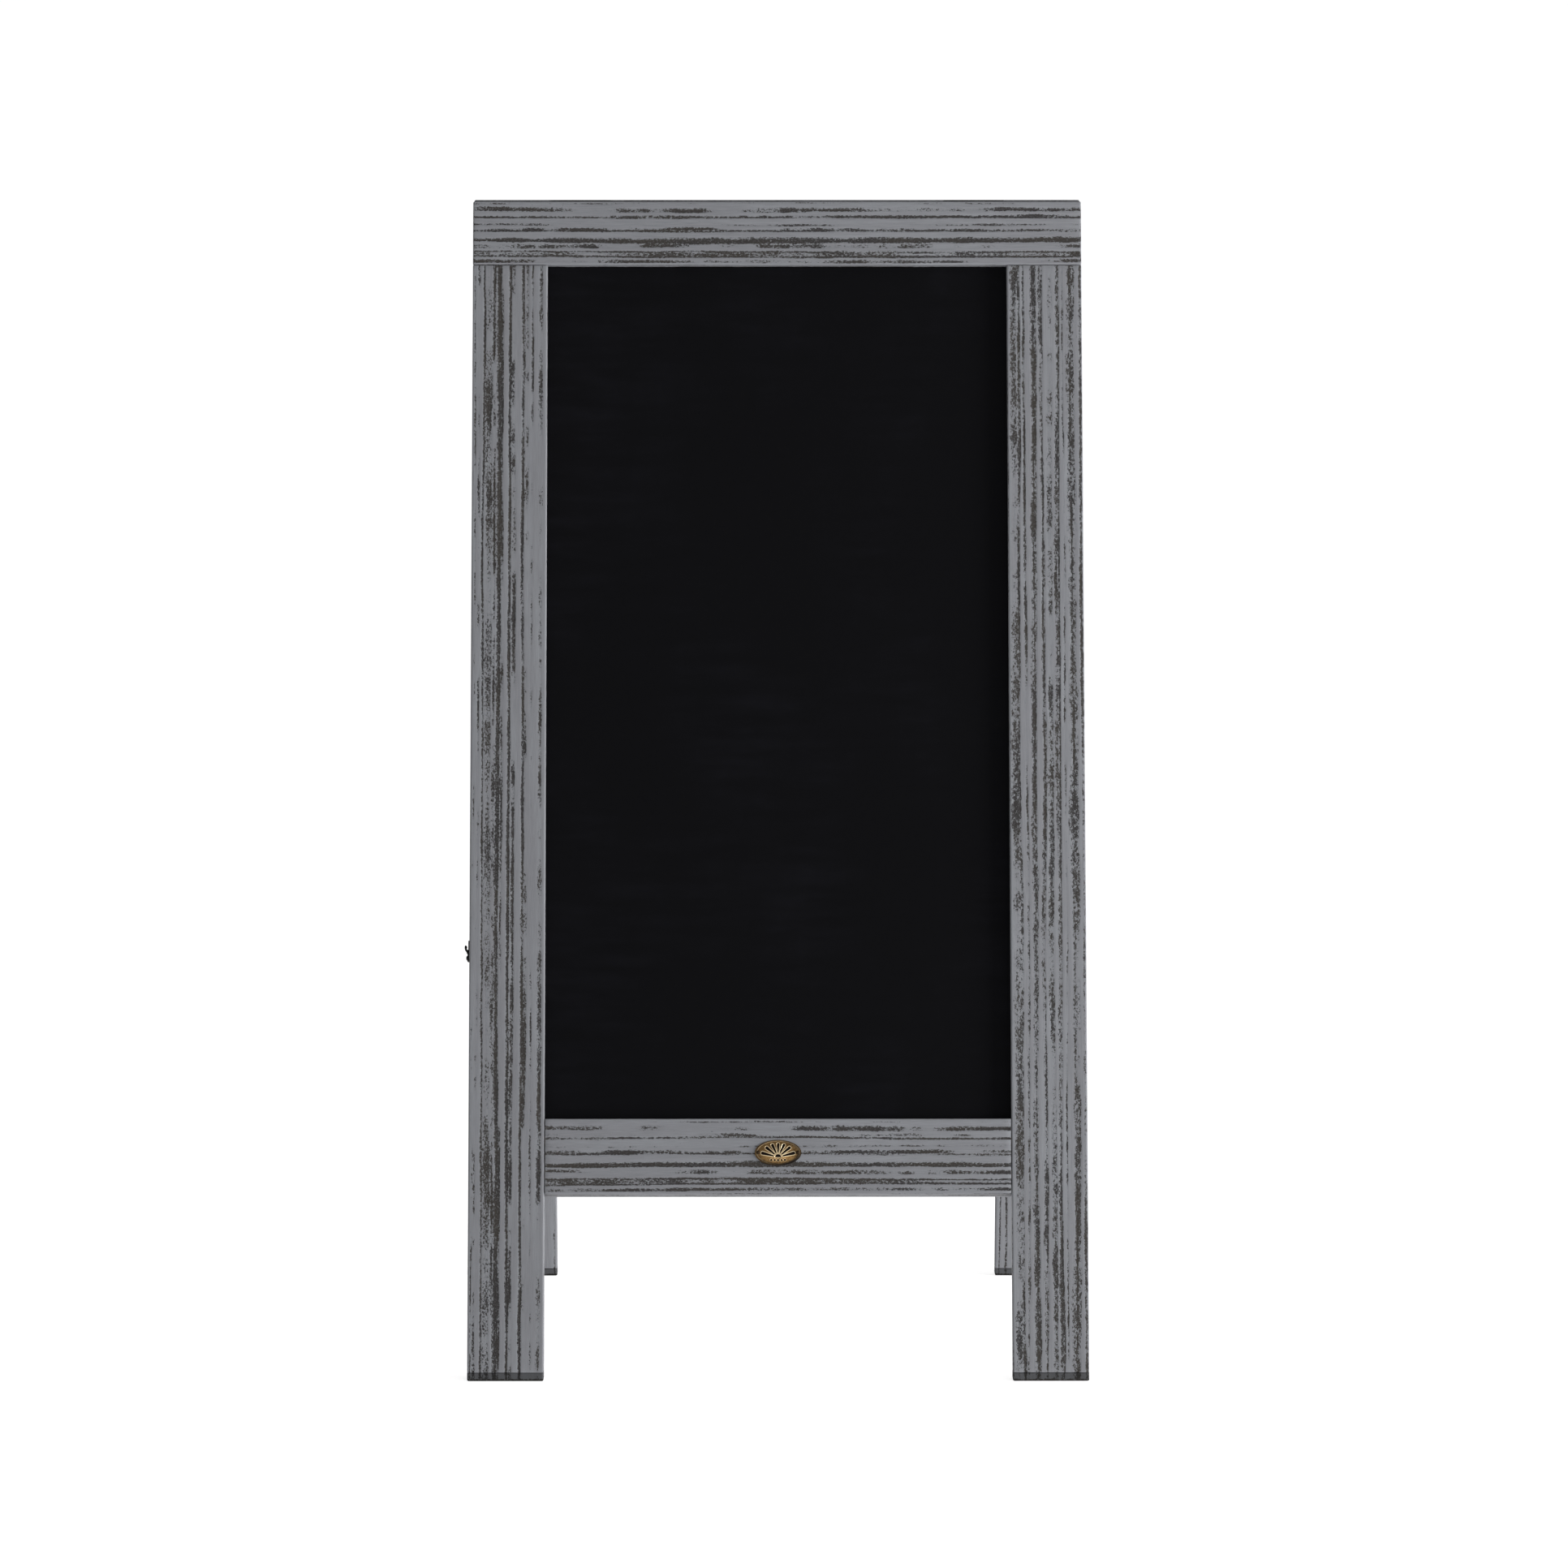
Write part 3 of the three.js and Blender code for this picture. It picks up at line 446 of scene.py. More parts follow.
class Grain:
    """Dark brushed streaks that run along a timber. A streak is (place, width, strength, breaks):
    its place around the section and its width in millimetres, how dark it is, and how much it
    comes and goes along the timber. Those of the front face are given, with their places as
    shares of its width, and the other faces' are scattered. Waver is how many millimetres they
    stray from a straight line. The lull is a stretch with less brushing: (middle, reach, share),
    its place and half length along the timber and how much fainter the streaks are there."""

    def __init__(self, across, depth, length, front, waver, lull, seed):
        self.across, self.depth, self.length = across, depth, length
        self.waver, self.lull = waver, lull
        self.around = 2 * (across + depth)
        self.rng = np.random.default_rng(seed)
        self.offset = self.rng.uniform(0, 400, 3)
        streaks = [(place * across, *rest) for place, *rest in front]
        streaks += self.scattered(across, depth, every=5.5)
        streaks += self.scattered(across + depth, across, every=8)
        streaks += self.scattered(2 * across + depth, depth, every=5.5)
        self.streaks = [self.wandering(*streak) for streak in streaks]

    def scattered(self, start, width, every):
        count = max(2, round(width / every))
        places = (np.arange(count) + self.rng.uniform(0.2, 0.8, count)) * width / count
        return [(start + place, self.rng.uniform(0.8, 3.2), self.rng.uniform(0.35, 1.0),
                 self.rng.uniform(0.2, 0.7)) for place in places]

    def wandering(self, place, width, strength, breaks):
        def several(*pairs):
            return [knots(self.rng, self.length, reach, share) for reach, share in pairs]
        return {
            "place": place,
            "width": width,
            "strength": strength,
            "drift": several((170, self.waver), (37, 0.35 * self.waver), (11, 0.15)),
            "swell": several((60, 0.2), (17, 0.2)),
            "fade": several((90, 0.6 * breaks), (31, 0.6 * breaks), (9, 0.5 * breaks)),
        }

    def round_the_section(self, own):
        """How far round a point is: along the front face, right, back, then left."""
        a, b = own[:, 0], own[:, 1]
        nearest = np.argmin([b, self.across - a, self.depth - b, a], axis=0)
        return np.choose(nearest, [
            a, self.across + b, 2 * self.across + self.depth - a, self.around - b])

    def darkness(self, own):
        """Streak strength from 0 to 1 at points (across, depth, along), in millimetres."""
        around = self.round_the_section(own)
        total = np.zeros(len(own))
        for streak in self.streaks:
            drift, swell, fade = (sum(wander(own[:, 2], *knot) for knot in streak[key])
                                  for key in ("drift", "swell", "fade"))
            aside = around - streak["place"] - drift
            aside = (aside + self.around / 2) % self.around - self.around / 2
            half = np.maximum(streak["width"] * (1 + swell) / 2, 0.3)
            # One edge of a streak is crisp, and the other frays out.
            reach = np.abs(aside) / half
            profile = np.where(aside > 0, 2.1 - 1.9 * reach, 1.3 - 0.8 * reach)
            strength = np.clip(streak["strength"] + fade, 0, 1)
            total = np.maximum(total, np.clip(profile, 0, 1) * strength)
        # Streaks fade over the arrises, a painted highlight there.
        return total * self.painted_arris_highlight(around) * self.brushing(own[:, 2])

    def brushing(self, along):
        """Share of their strength that streaks keep at places along the timber."""
        middle, reach, share = self.lull
        return 1 - share * np.exp(-((along - middle) / reach) ** 2)

    def painted_arris_highlight(self, around):
        """Streaks fade over the rounded edges, so the arrises read lighter: a painted highlight.
        """
        corners = np.cumsum([0, self.across, self.depth, self.across, self.depth])
        from_edge = np.min(np.abs(around[:, None] - corners), axis=1)
        return 0.45 + 0.55 * np.clip((from_edge - 0.7) / 1.2, 0, 1)

    def end_darkness(self, own):
        """Growth rings on the end grain, as arcs about a heart behind the timber."""
        heart_across, heart_deep = 0.4 * self.across, 4.5 * self.depth
        radius = np.hypot(own[:, 0] - heart_across, own[:, 1] - heart_deep)
        ring = 0.5 + 0.5 * np.sin(radius * 2 * math.pi / RING_SPACING)
        return 0.75 * ring ** 3


# Streaks on the faces that look outwards, as (share of the width, width in mm, strength, breaks).
# Rails are read from their top edge down, stiles from left to right.
RAIL_STREAKS = [
    (0.045, 0.9, 0.25, 0.7), (0.140, 3.6, 0.48, 0.9), (0.235, 2.6, 0.42, 0.8),
    (0.258, 1.8, 0.88, 0.4), (0.370, 1.6, 0.3, 0.8), (0.450, 2.8, 0.42, 0.9),
    (0.472, 1.8, 0.8, 0.5), (0.620, 4.2, 0.98, 0.12), (0.710, 3.4, 0.45, 0.9),
    (0.800, 1.3, 0.9, 0.4), (0.835, 4.6, 0.6, 0.5), (0.873, 1.7, 0.97, 0.2),
    (0.952, 2.6, 0.5, 0.7),
]
CALM_STREAKS = [
    (0.035, 1.2, 0.4, 0.7), (0.090, 2.0, 0.3, 0.9), (0.160, 1.5, 0.9, 0.25),
    (0.230, 5.6, 0.43, 0.4), (0.300, 2.4, 0.3, 0.9), (0.362, 3.8, 1.0, 0.12),
    (0.400, 2.2, 0.34, 0.8), (0.505, 2.3, 0.95, 0.25), (0.555, 3.0, 0.32, 0.9),
    (0.685, 2.2, 0.85, 0.35), (0.725, 3.4, 0.34, 0.8), (0.810, 1.6, 0.3, 0.9),
    (0.925, 3.4, 0.5, 0.6),
]
BUSY_STREAKS = [
    (0.095, 6.6, 0.45, 0.5), (0.150, 2.4, 0.56, 0.6), (0.225, 2.0, 0.50, 0.7),
    (0.335, 4.6, 0.62, 0.4), (0.350, 1.4, 0.95, 0.3), (0.455, 3.4, 0.52, 0.5),
    (0.470, 1.3, 0.8, 0.5), (0.565, 4.2, 0.48, 0.5), (0.655, 3.4, 0.56, 0.4),
    (0.668, 1.3, 0.9, 0.4), (0.740, 1.4, 0.4, 0.8), (0.860, 6.6, 0.51, 0.35),
    (0.845, 2.4, 0.9, 0.4), (0.975, 2.8, 0.85, 0.5),
]
STILE_GRAIN = {
    "left": (CALM_STREAKS, 0.9, (420, 200, 0.1)),
    "right": (BUSY_STREAKS, 1.2, (320, 140, 0.38)),
}
RAIL_GRAIN = (RAIL_STREAKS, 0.8, (250, 100, 0.05))


# ---------------------------------------------------------------- timbers

ARRIS = 1.5 * MM
JOINT_EDGE = 0.35 * MM  # edges of an end that butts against another timber
STREAK_DEPTH = 0.32 * MM
ACROSS_STEP = 0.72 * MM
ALONG_STEP = 4.5 * MM
LEVEL_STRETCH = 40 * MM  # of a leg, sheared so that its end lies level
END_SKIN = 0.9  # how far from a timber's end its end grain shows, in millimetres


def grid_lines(length, step, low_radius, high_radius):
    """Grid lines from one face to the other, closer together round the two rounded edges."""
    arc = 1 - np.tan(np.radians([45, 30, 15]))
    count = max(1, round((length - low_radius - high_radius) / step))
    even = np.linspace(low_radius, length - high_radius, count + 1)
    return np.concatenate([low_radius * arc, even, length - high_radius * arc[::-1]])


def rounded_block(size, radii, steps):
    """Points, outward directions and faces of a block whose surface is a fine grid. Each axis
    has a rounding radius for its low and its high edges."""
    size, radii = np.array(size), np.array(radii)
    lines = [grid_lines(length, step, *pair) for length, step, pair in zip(size, steps, radii)]
    shape = [len(line) for line in lines]
    on_shell = np.ones(shape, bool)
    on_shell[1:-1, 1:-1, 1:-1] = False
    index = np.full(shape, -1)
    index[on_shell] = np.arange(on_shell.sum())
    raw = np.stack([line[place] for line, place in zip(lines, np.nonzero(on_shell))], 1)
    core = np.clip(raw, radii[:, 0], size - radii[:, 1])
    radius = np.where(raw < size / 2, radii[:, 0], radii[:, 1])
    outward = (raw - core) / radius
    outward /= np.linalg.norm(outward, axis=1, keepdims=True)
    faces = []
    for axis in (X, Y, Z):
        for end in (0, -1):
            face = index.take(end, axis=axis)
            quads = np.stack([face[:-1, :-1], face[1:, :-1], face[1:, 1:], face[:-1, 1:]], -1)
            quads = quads.reshape(-1, 4)
            faces.append(quads if (end == -1) != (axis == Y) else quads[:, ::-1])
    return core + radius * outward, outward, np.concatenate(faces)


def grain_axes(label, low, high, is_rail):
    """From (across, depth, along) to the row frame. Rails are measured down from their top."""
    if not is_rail:
        return AXES[label] @ Matrix.Translation(Vector(low))
    turn = Matrix(((0, 0, 1), (0, 1, 0), (-1, 0, 0))).to_4x4()
    return AXES[label] @ Matrix.Translation((low[0], low[1], high[2])) @ turn


def mark_grain(obj, grain, dark, own):
    """Stores streak strength and the timber's own coordinates at each point, for the look."""
    streak = obj.data.attributes.new("streak", "FLOAT", "POINT")
    streak.data.foreach_set("value", dark.astype(np.float32))
    place = obj.data.attributes.new("grain_place", "FLOAT_VECTOR", "POINT")
    place.data.foreach_set("vector", (own + grain.offset).ravel().astype(np.float32))


def drill(node, label, axis, radius):
    """A round hole of that radius along a turned CAD node, a little longer than it."""
    low, high = own_box(node, label)
    length = (high[axis] - low[axis] + 2 * GAP) / MM
    start = driven(node, label, axis) @ Matrix.Translation((0, 0, -GAP))
    profile = [(0, 0), (radius / MM, 0), (radius / MM, length), (0, length)]
    return turned(profile, start, 24)


def pocket(low, high, label):
    """A box-shaped recess round the given corners, with a gap on every side."""
    return box(np.array(low) - GAP, np.array(high) + GAP, AXES[label])


def board_groove(label):
    """The groove round the opening that the writing board and its backer sit in."""
    sheet_low, sheet_high = own_box(f"{label}_chalkboard", label)
    backer_low, backer_high = own_box(f"{label}_backer", label)
    return pocket(np.minimum(sheet_low, backer_low), np.maximum(sheet_high, backer_high), label)


LEAF_THICKNESS = 1.5 * MM

# Radii of the holes in the timbers.
KNUCKLE_ROOM = 2.5 * MM
HINGE_SCREW_HOLE = 3.3 * MM
DOWEL_HOLE = 4.3 * MM
CHAIN_SCREW_HOLE = 1.5 * MM
RIVET_HOLE = 1.5 * MM
LATCH_SCREW_HOLE = 1.1 * MM
NAIL_HOLE = 1.0 * MM

LATCH_SCREWS = {"front": ("latch_catch_screw_upper", "latch_catch_screw_lower"),
                "rear": ("latch_pivot_screw_1", "latch_pivot_screw_2")}


def hinge_seat(label, side):
    """Mortise for the leaf, room for the knuckles and a hole for each screw."""
    low, high = own_box(f"{label}_hinge_leaf_{side}", label)
    rail_high = own_box(f"{label}_top_rail", label)[1]
    bed_low = (low[0], low[1], rail_high[2] - LEAF_THICKNESS)
    bed_high = (high[0], rail_high[1] + MM, rail_high[2] + MM)
    screws = [drill(f"{label}_hinge_screw_{side}_{row}", label, Z, HINGE_SCREW_HOLE)
              for row in (1, 2)]
    return [pocket(bed_low, bed_high, label),
            drill(f"hinge_pin_{side}", label, X, KNUCKLE_ROOM), *screws]


def upper_dowel_holes(label, sides):
    return [drill(f"{label}_upper_dowel_{side}", label, Z, DOWEL_HOLE) for side in sides]


def lower_dowel_holes(label, sides):
    return [drill(f"{label}_lower_dowel_{side}_{row}", label, X, DOWEL_HOLE)
            for side in sides for row in (1, 2)]


def stile_holes(label, side):
    holes = [board_groove(label), *upper_dowel_holes(label, [side]),
             *lower_dowel_holes(label, [side]),
             drill(f"{label}_chain_screw_{side}", label, X, CHAIN_SCREW_HOLE)]
    if side == "left":
        holes += [drill(node, label, X, LATCH_SCREW_HOLE) for node in LATCH_SCREWS[label]]
        if label == "rear":
            holes.append(drill("latch_rivet", label, X, RIVET_HOLE))
    return holes


def make_timber(node, label, pattern, seed, end_edge, holes):
    """A solid timber that stands for its CAD node, with rounded arrises, brushed streaks in its
    surface and the holes that its neighbours need. Returns its grain and axes."""
    low, high = own_box(node, label)
    is_rail = node.endswith("rail")
    spans = high - low
    size = spans[::-1] if is_rail else spans
    axes = grain_axes(label, low, high, is_rail)
    grain = Grain(*(size / MM), *pattern, seed)
    edges = [(ARRIS, ARRIS), (ARRIS, ARRIS), (end_edge, end_edge)]
    points, outward, faces = rounded_block(size, edges, (ACROSS_STEP, ACROSS_STEP, ALONG_STEP))
    depth = STREAK_DEPTH * grain.darkness(points / MM) * (1 - np.abs(outward[:, 2]))
    points = points - outward * depth[:, None]
    if not is_rail:
        share = np.clip(1 - points[:, 2] / LEVEL_STRETCH, 0, 1)
        points[:, 2] += share * points[:, 1] * math.tan(LEAN)
    obj = new_object(f"{node}_wood", moved(points, axes), faces)
    carve(obj, holes)
    own = moved(points_of(obj.data), axes.inverted()) / MM
    dark = grain.darkness(own)
    across, thick, length = size / MM
    inside = np.min([own[:, 0], across - own[:, 0], own[:, 1], thick - own[:, 1]], axis=0)
    from_end = np.minimum(own[:, 2], length - own[:, 2])
    on_end = (from_end < END_SKIN) & (inside > from_end)
    dark[on_end] = grain.end_darkness(own[on_end])
    mark_grain(obj, grain, dark, own)
    smooth_within(obj, 40)
    stands_for(obj, f"{label}_frame", "grey_wash_wood", LOOKS["grey_wash_wood"], node)
    return grain, axes


FOOT_SHADE_HEIGHT = 2.3 * MM  # of the painted shade along a foot's lower edge
FOOT_SHADE_FADE = 0.8 * MM


def make_foot(node, label, grain, axes):
    """A foot pad: the leg's level section, leaning with the leg, rounded below. The leg's
    streaks run on down its sides, and its lower edge is painted dark, a painted shade where it
    meets the floor."""
    low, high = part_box(node)
    height = high.z - low.z
    forward = -1 if label == "front" else 1
    run = height * math.tan(LEAN)
    size = (high.x - low.x, high.y - low.y - run, height)
    edges = [(ARRIS, ARRIS), (ARRIS, ARRIS), (ARRIS, 0.05 * MM)]
    points, _, faces = rounded_block(size, edges, (ACROSS_STEP, ACROSS_STEP, 0.8 * MM))
    points[:, 1] += forward * (height - points[:, 2]) * math.tan(LEAN)
    points += (low.x, low.y + (run if forward < 0 else 0), low.z)
    obj = new_object(f"{node}_wood", points, faces)
    own = moved(points, axes.inverted()) / MM
    # Painted shade: darker along the lower edge, where the foot meets the floor.
    height_left = FOOT_SHADE_HEIGHT - (points[:, 2] - low.z)
    tone = 0.8 * np.clip(height_left / FOOT_SHADE_FADE, 0, 1)
    mark_grain(obj, grain, np.maximum(grain.darkness(own), tone), own)
    smooth_within(obj, 40)
    stands_for(obj, f"{label}_frame", "foot_wood", LOOKS["foot_wood"], node)


def make_frame(label, seed):
    """One frame's timbers and feet."""
    seats = [cutter for side in SIDES for cutter in hinge_seat(label, side)]
    groove = board_groove(label)
    make_timber(f"{label}_top_rail", label, RAIL_GRAIN, seed, ARRIS,
                [groove, *upper_dowel_holes(label, SIDES), *seats])
    nails = [drill(f"badge_nail_{side}", label, Y, NAIL_HOLE)
             for side in SIDES if label == "front"]
    make_timber(f"{label}_bottom_rail", label, RAIL_GRAIN, seed + 1, JOINT_EDGE,
                [groove, *lower_dowel_holes(label, SIDES), *nails])
    for step, side in enumerate(SIDES):
        grain, axes = make_timber(f"{label}_stile_{side}", label, STILE_GRAIN[side],
                                  seed + 2 + step, JOINT_EDGE, stile_holes(label, side))
        make_foot(f"{label}_foot_{side}", label, grain, axes)


make_frame("front", 11)
make_frame("rear", 43)


# ---------------------------------------------------------------- boards and dowels

def finish_node(node, slot):
    """Keeps a CAD node's shape and gives it its look."""
    materials = NODES[node].data.materials
    materials.clear()
    materials.append(LOOKS[slot])


for label in ("front", "rear"):
    finish_node(f"{label}_chalkboard", "chalk_sheet")
    finish_node(f"{label}_backer", "hardboard")
    for side in SIDES:
        finish_node(f"{label}_upper_dowel_{side}", "dowel_wood")
        finish_node(f"{label}_lower_dowel_{side}_1", "dowel_wood")
        finish_node(f"{label}_lower_dowel_{side}_2", "dowel_wood")


# ---------------------------------------------------------------- sheet-metal fittings

def refine(node, body, edge, extras=()):
    """A CAD fitting with its edges eased and any extra solids joined on, to stand for the node
    itself."""
    obj = bpy.data.objects.new(f"{node}_eased", NODES[node].data.copy())
    bpy.context.scene.collection.objects.link(obj)
    shape = bmesh.new()
    shape.from_mesh(obj.data)
    bmesh.ops.remove_doubles(shape, verts=shape.verts, dist=1e-3 * MM)
    bmesh.ops.dissolve_limit(shape, angle_limit=math.radians(1), verts=shape.verts,
                             edges=shape.edges)
    shape.to_mesh(obj.data)
    shape.free()
    if extras:
        carve(obj, extras, "UNION")
    bevel(obj, edge)
    smooth_within(obj, 40)
    stands_for(obj, body, "black_metal", LOOKS["black_metal"], node)


# The rolled tip of the catch's lip and the web at the lip's root, in millimetres. Drops are
# from the catch's upper end, and insets from its outer side.
ROLL_RADIUS = 1.0
ROLL_LENGTH = 4.9
ROLL_INSET = 0.05
ROLL_DROP = 5.4
WEB_INSET = 1.6
WEB_TOP_DROP, WEB_FOOT_DROP = 7.7, 10.6
WEB_THICKNESS = 2.0
WEB_OVERLAP = 0.1


def catch_lip_extras():
    """The catch's lip has a rolled tip, and a web fills the corner between its root and the
    plate."""
    low, high = [corner / MM for corner in own_box("latch_catch", "front")]
    middle = (low[Y] + high[Y]) / 2
    axes = AXES["front"] @ Matrix.Scale(MM, 4)
    start = (low[X] + ROLL_RADIUS + ROLL_INSET, middle - ROLL_LENGTH / 2, high[Z] - ROLL_DROP)
    place = AXES["front"] @ Matrix.Translation(Vector(start) * MM)
    across = place @ Matrix.Rotation(-math.pi / 2, 4, "X")
    roll = turned([(0, 0), (ROLL_RADIUS, 0), (ROLL_RADIUS, ROLL_LENGTH), (0, ROLL_LENGTH)], across)
    web = box((low[X] + WEB_INSET, middle - WEB_THICKNESS / 2, high[Z] - WEB_FOOT_DROP),
              (high[X] - WEB_OVERLAP, middle + WEB_THICKNESS / 2, high[Z] - WEB_TOP_DROP), axes)
    return [roll, web]


LEAF_EDGE = 0.15 * MM  # eased edges of the hinge leaves, and of the latch's plates and arm
LATCH_EDGE = 0.12 * MM


for label in ("front", "rear"):
    for side in SIDES:
        refine(f"{label}_hinge_leaf_{side}", f"{label}_frame", LEAF_EDGE)
refine("latch_catch", "front_frame", LATCH_EDGE, catch_lip_extras())
refine("latch_pivot_plate", "rear_frame", LATCH_EDGE)
refine("latch_arm", "latch_arm", LATCH_EDGE)


# ---------------------------------------------------------------- screws, pins and nails

def countersunk(head, shank, length):
    """Profile of a flat-headed screw, from the middle of its head to its tip."""
    return [(0, 0.04), (head * 0.6, 0.02), (head - 0.15, 0), (head, 0.12), (head, 0.22),
            (shank, 0.22 + head - shank), (shank, length - 2 * shank), (0, length)]


def domed(head, height, shank, length):
    """Profile of a round-headed screw or nail. The head is a quarter of an ellipse."""
    turns = [math.radians(90 * i / 7) for i in range(1, 8)]
    crown = [(head * math.sin(a), height * (1 - math.cos(a))) for a in turns]
    return [(0, 0), *crown, (shank, height), (shank, length - 2 * shank), (0, length)]


def cross_recess(place, head, depth):
    """Two crossed slots sunk in a screw's head."""
    reach, half = head * 0.55, head * 0.13
    return [box((-a * MM, -b * MM, -MM), (a * MM, b * MM, depth * MM), place)
            for a, b in ((reach, half), (half, reach))]


def make_turned(node, body, label, axis, sign, profile, slot, head=None, segments=32):
    """A turned fastener, finely divided, in its CAD node's place. One with a head size gets a
    cross recess."""
    place = driven(node, label, axis, sign)
    obj = new_object(f"{node}_turned", *turned(profile, place, segments))
    if head:
        carve(obj, cross_recess(place, head, head * 0.45))
    smooth_within(obj, 35)
    stands_for(obj, body, slot, LOOKS[slot], node)
    return obj


def chain_screw():
    """Profile of a chain screw: a round head, the wire's room, then a round-edged collar that
    stands against the stile, and the shank."""
    return [*domed(head=2.6, height=1.5, shank=1.2, length=9)[:-2], (1.2, 3.6), (2.05, 3.6),
            (2.2, 3.75), (2.2, 5.35), (2.05, 5.5), (1.2, 5.5), (1.2, 17.3), (0, 19.8)]


def hinge_pin_profile(node):
    """Profile of a hinge pin: a shank with the same domed tip at both ends."""
    low, high = own_box(node, "front")
    length = (high[X] - low[X]) / MM
    tip = (high[Z] - low[Z]) / 2 / MM
    shank = tip / 1.5
    turns = [math.radians(90 * i / 5) for i in range(1, 6)]
    dome = [(tip * math.sin(a), 1 - math.cos(a)) for a in turns]
    start = [(0, 0), *dome, (tip, 1.6), (shank, 1.7)]
    return start + [(r, length - h) for r, h in reversed(start)]


for label in ("front", "rear"):
    for side in SIDES:
        for row in (1, 2):
            make_turned(f"{label}_hinge_screw_{side}_{row}", f"{label}_frame", label, Z, -1,
                        countersunk(head=3.1, shank=1.4, length=16), "black_metal", head=3.1)
        inwards = 1 if (side == "right") == (label == "front") else -1
        make_turned(f"{label}_chain_screw_{side}", f"{label}_frame", label, X, inwards,
                    chain_screw(), "steel", head=2.6)
for side in SIDES:
    make_turned(f"hinge_pin_{side}", "front_frame", "front", X, 1,
                hinge_pin_profile(f"hinge_pin_{side}"), "black_metal")
make_turned("latch_catch_screw_upper", "front_frame", "front", X, 1,
            countersunk(head=1.35, shank=0.8, length=9), "black_metal", head=1.35)
make_turned("latch_catch_screw_lower", "front_frame", "front", X, 1,
            domed(head=1.9, height=0.9, shank=0.8, length=11), "black_metal", head=1.9)
for row in (1, 2):
    make_turned(f"latch_pivot_screw_{row}", "rear_frame", "rear", X, -1,
                countersunk(head=1.5, shank=0.8, length=9), "black_metal", head=1.5)
make_turned("latch_rivet", "rear_frame", "rear", X, -1,
            domed(head=2.4, height=0.8, shank=1.2, length=9.1), "steel")


# ---------------------------------------------------------------- badge

BADGE_RINGS = 110
BADGE_SECTORS = 360
BADGE_EDGE = 0.35  # thickness of the rim's outermost edge, in millimetres

# Shares of the way out from the badge's middle to its edge.
MOTIF_SHARE = 0.86  # the furthest that the ornament reaches
RIM_SHARE, RIM_SPREAD = 0.91, 0.028
ROLLED_SHARE = 0.07  # the part that is rounded over, in from the edge

HUB_HEIGHT = -3.9  # of the point that the flutes spread from, in millimetres
FLUTE_TURN = 25  # degrees from one flute to the next
FLUTE_START = 4.3  # millimetres out from that point


def badge_motif(x, z):
    """Distance to a plain ornament: flutes that spread from a small hub, as on a scallop shell,
    over a row of beads."""
    up = z - HUB_HEIGHT
    shapes = [np.maximum(np.hypot(x, up) - 2.4, -up)]
    for flute in range(-3, 4):
        turn = math.radians(90 - FLUTE_TURN * flute)
        reach = 1 / math.hypot(math.cos(turn) / 13.4, math.sin(turn) / 10.8)
        along = np.clip(x * math.cos(turn) + up * math.sin(turn), FLUTE_START, reach)
        aside = np.hypot(x - along * math.cos(turn), up - along * math.sin(turn))
        shapes.append(aside - 0.15 - 0.08 * along)
    for bead in range(-2, 3):
        shapes.append(np.hypot(x - bead * 2.8, z + 6.3 - 0.05 * bead ** 2) - 0.75)
    return np.min(shapes, axis=0)


